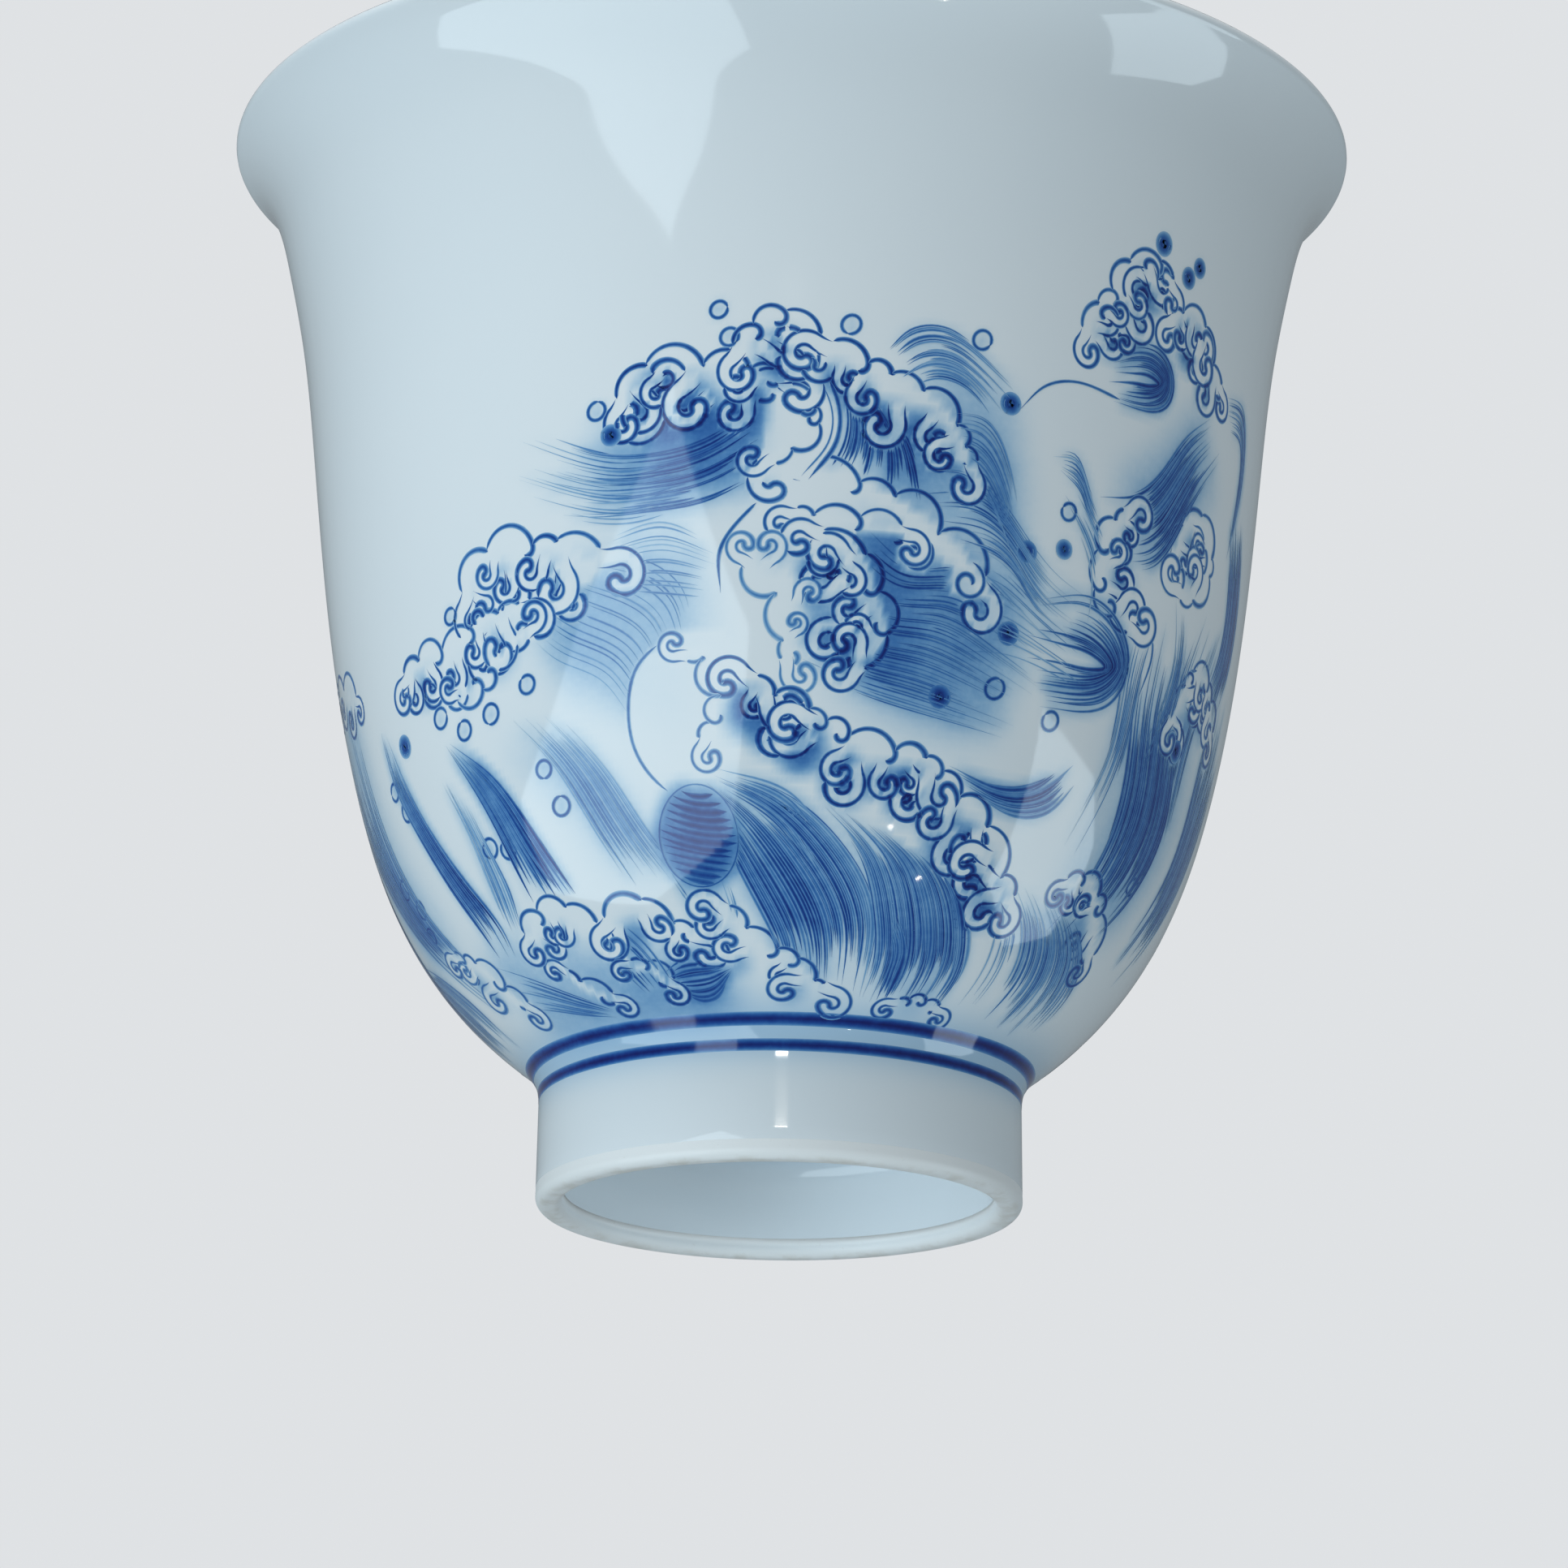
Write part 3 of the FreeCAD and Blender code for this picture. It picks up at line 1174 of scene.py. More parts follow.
def inside_ground(points: Array, ground: Array) -> Array:
    """Which plan points lie inside a closed outline.

    Args:
        points: The plan points.
        ground: The outline.

    Returns:
        True or False for each point.
    """
    x, y = points[:, :1], points[:, 1:]
    (ax, ay), (bx, by) = ground.T, np.roll(ground, -1, axis=0).T
    slope = (bx - ax) / np.where(ay == by, 1e-9, by - ay)
    crossing = ((ay > y) != (by > y)) & (x < slope * (y - ay) + ax)
    return crossing.sum(1) % 2 == 1


class Covers:
    """The grounds that hide whatever was painted before them."""

    least = 5            # shortest piece of a cut stroke that is kept, in points

    def __init__(self) -> None:
        """Starts with nothing covered."""
        self.grounds: list = []
        self.boxes = np.zeros((0, 4))

    def add(self, grounds: list) -> None:
        """Adds closed outlines.

        Args:
            grounds: Outlines on the plan.
        """
        self.grounds += grounds
        boxes = [(*g.min(0), *g.max(0)) for g in grounds]
        self.boxes = np.concatenate([self.boxes, np.array(boxes).reshape(-1, 4)])

    def clip(self, stroke: Stroke) -> list:
        """Cuts a stroke where it runs under the grounds.

        Args:
            stroke: The stroke.

        Returns:
            The pieces that stay in sight.
        """
        around = math.tau * MID_GIRTH
        low, high = stroke.path.min(0), stroke.path.max(0)
        middle = (self.boxes[:, 0] + self.boxes[:, 2]) / 2
        shift = around * np.round(((low[0] + high[0]) / 2 - middle) / around)
        near = (self.boxes[:, 0] + shift < high[0]) & (self.boxes[:,
            2] + shift > low[0]) & (self.boxes[:, 1] < high[1]) & (self.boxes[:, 3] > low[1])
        seen = np.ones(len(stroke.path), bool)
        for number in np.flatnonzero(near):
            seen &= ~inside_ground(stroke.path - (shift[number], 0), self.grounds[number])
        if seen.all():
            return [stroke]
        kept, edges = [], np.flatnonzero(np.diff(np.concatenate([[0], seen.astype(int), [0]])))
        for begin, finish in zip(edges[::2], edges[1::2]):
            if finish - begin >= self.least:
                run = slice(begin, finish)
                half = stroke.half[run] * taper(finish - begin, 0.08, 0.08)
                kept.append(Stroke(stroke.path[run], half, stroke.ink[run]))
        return kept


@dataclass
class Curl:
    """One curl on its own."""

    at: tuple
    size: float = 1.2
    turns: float = 1.3
    start: float = 90.0
    hand: Hand = Hand.LEFT
    weight: float = 0.11
    ink: float = 1.0

    def lay(self, site: Site) -> list:
        """Draws the curl.

        Args:
            site: Where it is drawn.

        Returns:
            What is laid on the wall.
        """
        centre = site.put([self.at])[0]
        count = max(14, int(self.turns * self.size * 26))
        t = np.linspace(0, 1, count)
        wound = math.radians(self.start) + self.hand.value * t * self.turns * math.tau
        reach = self.size * (1 - 0.80 * t ** 0.85)
        path = site.wall.spot(centre, facing(wound) * reach[:, None])
        half = self.weight * (0.75 + 0.5 * t) * taper(count, 0.08, 0.16)
        edge = facing(np.linspace(0, math.tau, 24)) * self.size * 0.95
        return [Sheet([Stroke(path, half, self.ink)], [], [site.wall.spot(centre, edge)])]


@dataclass
class Ground:
    """White ground with a drawn edge, such as the smooth back of a breaking wave."""

    outline: list
    drawn: float = 0.0
    weight: float = 0.09
    ink: float = 0.8

    def lay(self, site: Site) -> list:
        """Clears the ground and draws its edge.

        Args:
            site: Where it is drawn.

        Returns:
            What is laid on the wall.
        """
        points = site.put(self.outline)
        ring = eased(np.concatenate([points, points[:1]]), 0.4)
        sheet = Sheet(grounds=[ring])
        if self.drawn > 0:
            part = ring[:max(6, int(len(ring) * self.drawn))]
            half = self.weight * taper(len(part), 0.2, 0.25)
            sheet.strokes.append(Stroke(part, half, self.ink))
        return [sheet]


@dataclass
class Spray:
    """Drops that fly off the crests: some open rings, some filled."""

    rings: list
    dots: list = field(default_factory=list)
    size: float = 0.52
    weight: float = 0.085
    ink: float = 0.95

    def lay(self, site: Site) -> list:
        """Draws the drops.

        Args:
            site: Where it is drawn.

        Returns:
            What is laid on the wall.
        """
        sheet, wall, rng = Sheet(), site.wall, site.rng
        for full, spots in ((False, self.rings), (True, self.dots)):
            for centre in site.put(spots) if spots else []:
                radius = self.size * rng.uniform(0.85, 1.15)
                angle = np.linspace(0, math.tau * 1.04, 25) + rng.uniform(0, 6)
                reach = radius * (1 + 0.06 * np.sin(2 * angle))
                ring = wall.spot(centre, facing(angle) * reach[:, None])
                sheet.strokes.append(Stroke(ring, self.weight * taper(25, 0.1, 0.1), self.ink))
                if full:
                    core = wall.spot(centre, facing(angle) * (radius * 0.42))
                    sheet.strokes.append(Stroke(core, radius * 0.6, self.ink))
                sheet.tones.append(Tone(wall.spot(centre, np.zeros((1, 2))), 0.35, 0.3))
        return [sheet]


@dataclass
class RoundSwell:
    """A round hump of water, banded with slanting strokes over a tint."""

    at: tuple
    size: tuple = (2.3, 2.9)
    bands: int = 13
    slant: float = -16.0
    ink: float = 0.9
    tint: float = 0.5

    def lay(self, site: Site) -> list:
        """Draws the hump.

        Args:
            site: Where it is drawn.

        Returns:
            What is laid on the wall.
        """
        centre, wall = site.put([self.at])[0], site.wall
        wide, tall = self.size
        ring = facing(np.radians(np.linspace(0, 360, 60)))
        edge = wall.spot(centre, ring * self.size)
        sheet = Sheet(grounds=[edge])
        for level in np.linspace(-0.86, 0.88, self.bands):
            chord = math.sqrt(1 - level * level) * wide * 0.97
            t = np.linspace(-1, 1, 16)
            bow = 0.32 * (1 - t * t) * (1 if level > -0.2 else 0.4)
            x = t * chord
            y = level * tall + x * math.tan(math.radians(self.slant)) * 0.8 - bow
            keep = (x / wide) ** 2 + (y / tall) ** 2 < 1.0
            path = wall.spot(centre, np.stack([x, y], 1))[keep]
            if len(path) < 5:
                continue
            thick = (0.21 if level > -0.25 else 0.15) * site.rng.uniform(0.7, 1.25)
            half = thick * taper(len(path), 0.5, 0.25)
            sheet.strokes.append(Stroke(path, half, self.ink * (0.75 + 0.3 * level)))
            sheet.tones.append(Tone(path, self.tint * 2.6, 0.4))
        sheet.strokes.append(Stroke(edge, 0.05 * taper(60, 0.1, 0.1), 0.5))
        return [sheet]


FAMILIES = {FoamBank: "painted_foam", Curl: "painted_foam", Ground: "painted_foam",
            Spray: "painted_spray"}


# The motifs of each group, from the back to the front. A guide line is pairs of bearing in
# degrees and distance up the wall in millimetres.
# The tall crest: swept-back water, the belly under it, the arch, and the foam.
CREST = [
    Wash([(-22, 36), (-15, 35.8), (-5, 37)], [(-20, 33), (-12, 33), (-3, 33.6)], 0.45),
    Wash([(-14, 38), (-8, 38), (-3, 38)], [(-14, 34.4), (-7, 34), (-3, 34.4)], 1.0, 0.8),
    Swell([(-29, 36.9), (-23, 35.6), (-17, 35.2), (-9, 36), (-3, 38)], [(-30, 32.3), (-23, 31.7),
        (-17, 31.7), (-9, 32.2), (-4, 33.3)], 22, 0.085, 0.85, 0.1, 0.85, 0.5),
    Swell([(-34, 38.4), (-26, 36.4), (-19, 35.4), (-12, 35.8)], [(-33, 33), (-25, 31.6), (-18, 31.2),
        (-11, 32)], 12, 0.06, 0.6, 0.04, 0.8, 0.5),
    Swell([(3.6, 33.2), (6.2, 35.2), (6.6, 37.8), (4.6, 40.2)], [(16.5, 32.6), (15, 35), (12.4, 37.2),
        (9, 38.8)], 22, 0.1, 0.9, 0.22, 0.3, 0.35),
    Wash([(12, 35), (20, 39), (26, 38.4)], [(14, 33.5), (22, 33), (28, 32)], 0.42, 1.1),
    Swell([(10.5, 40.8), (14, 42.5), (18, 42.8), (22, 41.9), (27, 40.3)], [(13, 38.6), (17, 39.6),
        (21, 39.2), (25, 37.2)], 18, 0.085, 0.75, 0.11, 0.3, 0.45),
    Swell([(19, 38), (23, 38), (26.5, 36), (28.5, 33)], [(16, 34), (21, 34.2), (25, 32.5), (28, 30)], 14,
        0.05, 0.4, 0.14, 0.4),
    Wash([(10, 31.4), (19, 30), (28, 27.5)], [(8, 23), (17, 21.2), (27, 21)], 0.55, 1.2),
    Wash([(9.5, 31.5), (15, 30)], [(8.5, 24), (15, 23)], 0.95),
    Swell([(9, 31), (15, 29), (22, 29.3), (29, 27.6), (36, 25.5)], [(1, 22.8), (9, 21.4), (19, 20.4),
        (30, 19.8)], 36, 0.075, 0.7, 0.16, 0.15, 0.45),
    Swell([(12, 34), (20, 34.8), (26, 33.3), (30, 31.4), (35, 29.6), (41, 28.6)], [(21, 30.5), (28, 29.4),
        (32, 27.4), (37, 26.2)], 15, 0.075, 0.65, 0.1, 0.25, 0.3),
    Swell([(17, 31), (24, 31.4), (31, 29), (38, 27)], [(20, 24), (28, 24.4), (35, 24), (41, 23.4)], 14,
        0.05, 0.45, 0.06, 0.8, 0.5),
    Swell([(33, 28.2), (40, 29), (45.6, 28), (48.4, 25.8), (46.6, 23.4), (41.6, 22.3), (34.6, 22)],
        [(31, 25.9), (37.4, 25.8), (42.4, 25.6), (44.2, 25.2), (42.4, 24.9), (37, 24.8), (31.6, 24.7)],
        17, 0.1, 0.95, 0.22, 0.52, 0.42, edge=0.3),
    Swell([(22, 18.1), (29, 17.3), (36, 17.9), (41.5, 20)], [(26, 16.6), (33, 15.7), (40, 16.5),
        (43.5, 18.6)], 10, 0.16, 1.15, 0.25, 0.65, 0.3),
    Ground([(-8, 27.5), (-7.6, 29.6), (-4.6, 31.2), (-2, 32.8), (3, 34.2), (9, 33.6), (15, 32.2),
        (19.5, 30.9), (22.6, 29.4), (17, 29.4), (12.6, 30.6), (8, 30.4), (9, 27.6), (6, 24.4), (0, 23.6),
        (-5, 24.6)]),
    Sweep([(-8, 27), (-8.1, 29.2), (-4.6, 31.6), (-1, 33.2), (4, 34.9)], 0.11, 0.95),
    FoamBank([(1, 33.9), (8, 33.4), (13, 32.7), (17.4, 31.1), (21, 30), (24, 28.2)], 1.7, 1, 1.2, -1,
        0.2),
    Curl((15.6, 29.5), 1.15, 1.2, 60, Hand.RIGHT),
    Curl((22.4, 28.3), 1.2, 1.3, 80, Hand.RIGHT),
    FoamBank([(0.5, 31.4), (6, 31.4), (10.4, 31.2), (14, 30.6)], 1.1, 1, 1.3, -1, 0.4),
    FoamBank([(3.5, 30.4), (8.5, 29.8), (11, 27.4), (12.4, 24.6), (9, 22.8)], 1.25, 3, 1.25, -1, 0.5,
        0.11, 1.1, 1.9),
    FoamBank([(-5, 28.8), (-1.8, 27.4), (-0.8, 25), (0.2, 23)], 1.15, 2, 1.3, 1, 0.4, ink=0.6, shade=0.4),
    Ground([(-4, 33.2), (1.5, 33.6), (5.2, 35.8), (5.2, 38.6), (2.6, 40.6), (-4, 40), (-3, 37)]),
    Sweep([(2.4, 33.4), (5.4, 35.4), (5.6, 38), (3.2, 40.4)], 0.13, 0.95, 0.2, 0.3),
    Sweep([(1.6, 33.6), (4.5, 35.4), (4.9, 37.6), (3.6, 39.2)], 0.06, 0.7, 0.2, 0.3),
    FoamBank([(-0.5, 38.8), (2.6, 38), (3.2, 36.2), (0.8, 35.2), (-2.4, 34.4)], 1.1, 1, 1.3, -1, 0.8),
    FoamBank([(-19.8, 38), (-17.6, 40), (-12, 40.2), (-7, 39.8), (-1, 39.4)], 1.5, 3, 1.0, -1, 0.4, 0.11,
        1.15, 2.4),
    FoamBank([(-6, 40.6), (-3.4, 42.6), (1, 42.9), (3.4, 41.2)], 1.4, 2, 1.5, -1, 0.4, 0.11, 1.15, 1.8),
    FoamBank([(4, 41), (8, 40.4), (12.5, 39.6), (17, 38.6), (20.4, 36.8), (22, 34.8)], 1.3, 2, 1.6, -1,
        0.4, 0.115, 1.15, 2.2),
    Spray([(-8, 43.2), (-6.8, 41.6), (7, 42.4), (22.5, 42.3), (-22.7, 37.9), (27.5, 22.6), (36.5, 21.4),
        (35.5, 33.4)], [(26.5, 38.9), (-21, 36.4), (30, 30.6), (28.5, 25.8), (20, 21.7), (35.3, 31.2)]),
]

# The rounded white head of water left of the crest, and the foam that leads to it.
HEAD = [
    Wash([(-31, 27.5), (-22, 28.5), (-12, 27.5)], [(-28, 23.5), (-21, 22), (-13, 20)], 0.26, 1.2),
    Swell([(-34.6, 26.1), (-30, 24), (-24, 22.5), (-20, 20)], [(-24, 30), (-17, 29.4), (-12, 27.4),
        (-11, 25)], 14, 0.055, 0.42, 0.07, 0.5),
    Swell([(-22, 30.6), (-15, 31.3), (-9, 30)], [(-21, 27.5), (-14, 27), (-8, 26.6)], 10, 0.05, 0.4, 0.1,
        0.5),
    Ground([(-14, 24.9), (-18.8, 23.2), (-20.5, 20.8), (-20, 18.4), (-17, 16.4), (-12, 15.2), (-5, 15.6),
        (-3, 18.6), (-5, 22.6), (-9, 25.2)], 0.42, 0.08, 0.7),
    FoamBank([(-13, 23.6), (-9.4, 23.2), (-8.6, 20.8), (-10.6, 18.6)], 1.1, 1, 1.2, 1, 0.7, 0.09, 0.75),
    FoamBank([(-42.8, 28.6), (-41, 30.2), (-37.5, 31.2), (-33.5, 30.7), (-29.6, 31), (-25.5, 29.7),
        (-22.5, 29.4)], 1.6, 3, 1.0, -1, 0.4, 0.11, 1.0, 0.3),
    FoamBank([(-57, 25.2), (-52.5, 26.2), (-48, 26), (-44, 26.6), (-39, 27.4), (-34, 27.2)], 1.35, 3, 0.9,
        -1, 0.4, 0.11, 1.0, 0.4),
    FoamBank([(-47, 23.4), (-42, 23.3), (-37, 24.9), (-33.4, 26)], 1.0, 1, 1.2, 1, 0.8, 0.115),
    Spray([(-46, 27.9), (-50.6, 22.4), (-34.7, 23), (-46.4, 21.3), (-41.2, 21.8), (-32.3, 15.9),
        (-43.5, 14.1), (-34, 18.1)], [(-60, 21.7)]),
]

# The steep water low on the left, the round swell, and the foam at its foot.
TROUGH = [
    Wash([(-88, 24), (-86, 17), (-80, 10)], [(-76, 26), (-74, 18), (-68, 10)], 0.25, 1.2),
    Swell([(-92, 26), (-88, 18), (-80, 11), (-70, 5)], [(-76, 27), (-74, 19), (-70, 12), (-60, 4.6)], 18,
        0.09, 0.7, 0.12, 0.6, 0.35),
    FoamBank([(-92, 27), (-86, 28.4), (-79, 27.6), (-73, 26)], 1.15, 2, 1.25, -1, 0.7),
    Swell([(-66, 23.2), (-65.4, 20), (-62, 16), (-59, 12.6), (-57, 9.6), (-56.6, 8.2)], [(-64.4, 22.8),
        (-61.5, 19.2), (-57.5, 15.4), (-53.4, 12), (-51.4, 9.4), (-52, 8)], 11, 0.15, 1.15, 0.2, 0.8, 0.2,
        edge=0.4),
    Swell([(-54, 19.6), (-51, 16), (-50.4, 12), (-51, 8.6)], [(-49, 17.4), (-47, 14), (-46.2, 11.6),
        (-47, 9.8)], 7, 0.07, 0.5, 0.1, 0.7),
    Swell([(-50.6, 20.8), (-46.4, 17.4), (-43.8, 14), (-42.4, 10.8)], [(-49.6, 20.8), (-43, 18.4),
        (-37.4, 14.2), (-33.6, 10.8)], 19, 0.13, 1.05, 0.2, 0.85, 0.3, edge=0.2),
    Wash([(-38, 19.5), (-30, 16.5), (-24, 12)], [(-31, 19), (-24, 15.5), (-18, 11.5)], 0.12, 1.1),
    Swell([(-39, 21.6), (-33, 18.6), (-28, 14.4), (-24, 10.8)], [(-30, 20.8), (-24, 17.4), (-19, 13.6),
        (-14.6, 11)], 17, 0.06, 0.5, 0.09),
    Swell([(-9.6, 17.2), (0, 15.8), (9, 12.8), (15.4, 8.6), (16.4, 3.2)], [(-11, 15.8), (-8, 12.4),
        (-4, 9), (-1, 6.4), (0.6, 4)], 34, 0.1, 0.9, 0.11, 0.62, 0.3),
    Swell([(-9, 17.2), (1, 15.8), (7.6, 12.6)], [(-9.6, 16.4), (-1, 14), (5, 10.6)], 7, 0.09, 0.7, 0.1,
        0.4),
    Wash([(-6, 11), (-1, 8.4), (3, 5)], [(-4, 13), (3, 9.8), (6.6, 5)], 0.22, 0.8),
    Swell([(-18, 11.4), (-15, 9), (-15, 6.4)], [(-8, 11), (-7, 8.6), (-9, 6)], 12, 0.06, 0.5, 0.14, 0.5),
    RoundSwell((-12.3, 13.4), (2.25, 2.95)),
    Swell([(-23.5, 5.4), (-19, 6.6), (-14, 6.4), (-9.6, 5.6)], [(-20.5, 3.9), (-17, 3), (-13, 3.2),
        (-9.4, 5.0)], 10, 0.12, 1.0, 0.35, 0.5),
    Swell([(-36, 8), (-32, 6.4), (-28, 4)], [(-28, 9), (-24, 7), (-21, 4)], 9, 0.08, 0.7, 0.18),
    Wash([(-60, 8), (-46, 8), (-30, 5.6), (-12, 4.6)], [(-58, 3), (-45, 2.8), (-30, 2.7), (-12, 2.7)],
        0.22),
    Swell([(-62, 8.4), (-52, 6.4), (-44, 4.6), (-36, 3)], [(-60, 4.6), (-52, 3.8), (-44, 3), (-38, 2.6)],
        8, 0.07, 0.6, 0.1, 0.6, 0.4),
    FoamBank([(-46.8, 8.7), (-43.5, 10), (-39.5, 10.4), (-35.6, 10), (-32.4, 8.4)], 1.3, 2, 1.6, -1, 0.4,
        0.1, 0.95),
    FoamBank([(-43, 6.4), (-39.6, 5), (-35.6, 3.9)], 0.95, 1, 1.2, -1, 0.8, 0.1, 0.9),
    FoamBank([(-30, 8.6), (-26.4, 10), (-22, 9.8), (-18.6, 8.4), (-15, 7.4)], 1.25, 2, 1.5, -1, 0.4,
        0.11),
    FoamBank([(-29, 6), (-25, 6), (-22, 4.4)], 0.9, 1, 1.2, -1, 0.8, 0.11),
    FoamBank([(-9.8, 9.2), (-6, 7.9), (-2.6, 6.6), (1.4, 6.4), (5, 5), (8.6, 3.9)], 1.2, 2, 1.4, -1, 0.5,
        0.105),
    FoamBank([(-70, 9.4), (-66, 9), (-62, 7.4), (-59, 4.8)], 1.1, 2, 1.3, -1, 0.7, 0.1, 0.8),
    Spray([(-66, 19.6), (-64, 18.2), (-47, 14.4), (-75, 14.5), (-72, 12.9), (-73.5, 11.3)]),
]

# The long combed water that fans out low on the right.
FAN = [
    Swell([(4, 15.4), (10.4, 12.8), (14.8, 9), (16.6, 5.6), (15.8, 2.9)], [(20, 13.2), (27, 11.4),
        (32.4, 8.6), (34.8, 5.6), (33.6, 3.0)], 42, 0.11, 0.9, 0.085, 0.62, 0.3),
    Wash([(23, 8), (26, 5.6), (25.6, 3)], [(25, 8.6), (29, 5.6), (28.6, 3)], 0.26, 0.6),
    Swell([(16, 9), (19.6, 6.6), (19.6, 3.4)], [(20, 9.4), (23.4, 6.6), (22.6, 3.2)], 8, 0.14, 1.05, 0.2,
        0.8),
    Swell([(21, 14.4), (29, 12.6), (36, 9.6), (38, 6), (37, 3)], [(27, 13.4), (35, 12), (41.5, 9),
        (43.6, 6), (42.6, 3)], 10, 0.06, 0.5, 0.05, 0.6, 0.5),
    Swell([(36, 12), (42, 9.6), (45.4, 6.2), (44, 2.8)], [(50, 11.4), (59, 9.4), (65, 6.6), (66, 2.8)],
        26, 0.08, 0.65, 0.13, 0.6, 0.35),
    FoamBank([(24, 3.3), (28, 3.8), (31.6, 3.6), (34, 3.2)], 0.85, 1, 1.1, -1, 0.8),
]

# The slanting chain of foam under the belly.
CHAIN = [
    Ground([(4, 15.4), (12, 14.6), (20, 12.8), (28, 12.4), (24, 15), (12, 17)]),
    FoamBank([(-4.6, 22.2), (-1, 21.2), (3.6, 20.4), (7.4, 19.2), (11.6, 18.5), (16, 18.4), (20.6, 18),
        (24, 16.4), (28, 15.6), (31.4, 14), (34.4, 12.4), (37.4, 10.8)], 1.3, 3, 0.95, -1, 0.5, 0.115,
        1.1, 2.4),
]

# The second crest, on the right, with its foam, its tip and its falling water.
SHOULDER = [
    Swell([(40, 43.2), (44.6, 44.4), (48.6, 44.4), (51, 43), (50.4, 41.5), (46.6, 40.6), (41, 40.5)],
        [(41, 42.2), (44.4, 42.5), (47.4, 42.6), (48.4, 42.4), (47.4, 42.2), (44, 42), (40, 41.6)], 14,
        0.1, 1.0, 0.3, 0.52, 0.35, edge=0.3),
    Sweep([(27.6, 38.6), (30.6, 40.2), (35.6, 41), (42, 40.7)], 0.1, 0.85, 0.5, 0.1),
    Wash([(57, 41.5), (50, 38), (44, 35.8)], [(62, 38), (55, 34.6), (49, 32.4)]),
    Swell([(60, 42.2), (54.6, 40.2), (50, 37.4), (45, 35.6), (39.6, 35)], [(63.6, 40), (58, 36.8),
        (54, 33.6), (50, 31.6), (46, 31)], 22, 0.1, 0.95, 0.15, 0.55, 0.35),
    Swell([(32.2, 36.6), (35.4, 37), (38, 35.4), (40, 34)], [(34, 35.6), (37, 34.6), (39, 33), (41, 32)],
        8, 0.08, 0.6, 0.1, 0.5),
    Swell([(33, 34.5), (37, 32.4), (40, 29.6), (40, 27)], [(36, 35.4), (40, 33.2), (42.6, 31),
        (42.8, 28)], 6, 0.06, 0.5, 0.1, 0.5, 0.4),
    Swell([(49, 30.6), (47.4, 26), (47.4, 21), (43, 15)], [(54, 30), (51.6, 26), (51, 21), (47, 14)], 10,
        0.06, 0.55, 0.08, 0.5, 0.4),
    Swell([(64, 31.6), (60.4, 27), (59.4, 22), (63, 16)], [(72, 31), (68.4, 26), (67, 21), (70, 14)], 12,
        0.07, 0.65, 0.12, 0.5, 0.4),
    Swell([(56, 30.6), (57.6, 27.6), (56.8, 24.6), (53, 20)], [(60, 31), (60.8, 27.4), (60, 24),
        (56.4, 19)], 8, 0.06, 0.6, 0.1, 0.5, 0.4),
    Swell([(62, 44), (69, 44.4), (72, 41), (70, 36)], [(64, 42), (69, 42), (70, 38), (68, 34)], 9, 0.1,
        0.8, 0.16, 0.4),
    Swell([(68, 37), (71, 33), (71, 29), (68, 26)], [(74, 38), (77, 33), (77, 29), (74, 25)], 12, 0.13,
        1.1, 0.25, 0.5),
    Wash([(50, 22), (51, 16), (48, 11)], [(66, 24), (68, 18), (62, 11)], 0.22, 1.3),
    Swell([(51, 29.4), (50.6, 24), (52.4, 18), (51, 13.6), (46.6, 9.6)], [(64, 28), (63, 23), (66, 18),
        (64, 13), (58, 8.6)], 34, 0.1, 0.95, 0.1, 0.55, 0.4),
    Swell([(72, 28), (72, 22), (73, 16), (70, 10)], [(84, 27), (83, 20), (82, 14), (78, 8)], 18, 0.1, 0.8,
        0.18, 0.6, 0.3),
    Sweep([(67, 27.6), (62.7, 27.1), (60, 25.6), (57.7, 23.2)], 0.1, 0.85),
    Sweep([(50.8, 29.4), (52.7, 27), (51.4, 24.2)], 0.09, 0.8),
    FoamBank([(45, 34.4), (42, 33.4), (40.6, 31.4), (41, 29.2), (44.4, 28), (48, 27.8)], 1.25, 2, 1.5, 1,
        0.5, 0.11),
    FoamBank([(54.6, 33), (56, 35.4), (59.4, 36.2), (63, 35.2), (63.6, 32.6), (60, 31), (56.4, 31.2)],
        1.25, 2, 1.3, -1, 0.3, 0.1, 0.9),
    FoamBank([(36, 43.8), (37.6, 46), (40.6, 47.4), (42.4, 49.4), (46, 49.8), (49.4, 48.4)], 1.35, 3, 1.2,
        -1, 0.5, 0.11, 1.0, 1.1),
    FoamBank([(49.6, 46.4), (53, 47.6), (56.6, 47.2), (59, 45.4), (62, 44)], 1.25, 3, 0.9, -1, 0.5, 0.115,
        1.05, 1.3),
    FoamBank([(47, 12.6), (51, 13.6), (55, 12.8), (59, 11.4), (62, 9)], 1.1, 2, 1.25, -1, 0.7, 0.12),
    FoamBank([(59.6, 23.6), (62, 26.4), (66, 27.6), (70.4, 26.8), (74, 24.6)], 1.2, 3, 1.0, -1, 0.5,
        0.11),
    Spray([(63, 14)], [(47, 50.7), (54, 50.3), (62.9, 22.3), (52.1, 49.4)]),
]


@dataclass
class WavePainting:
    """Waves, foam and spray that run all round the bowl, laid from the back to the front."""

    seed: int = 11

    def placed(self) -> list:
        """Each group with where it stands, from the back to the front of the picture.

        Returns:
            Pairs of a motif and its placing.
        """
        order = [(SHOULDER, Placing(188, -3.5)), (HEAD, Placing(160, 1.5)), (CREST, Placing(192, -3)),
            (FAN, Placing(84)), (TROUGH, Placing(222)), (FAN, Placing(218)), (CHAIN, Placing(104, 0.5)),
            (CHAIN, Placing(196, -0.5)), (SHOULDER, Placing()), (CREST, Placing()), (HEAD, Placing()),
            (FAN, Placing()), (TROUGH, Placing()), (CHAIN, Placing())]
        return [(motif, place) for group, place in order for motif in group]


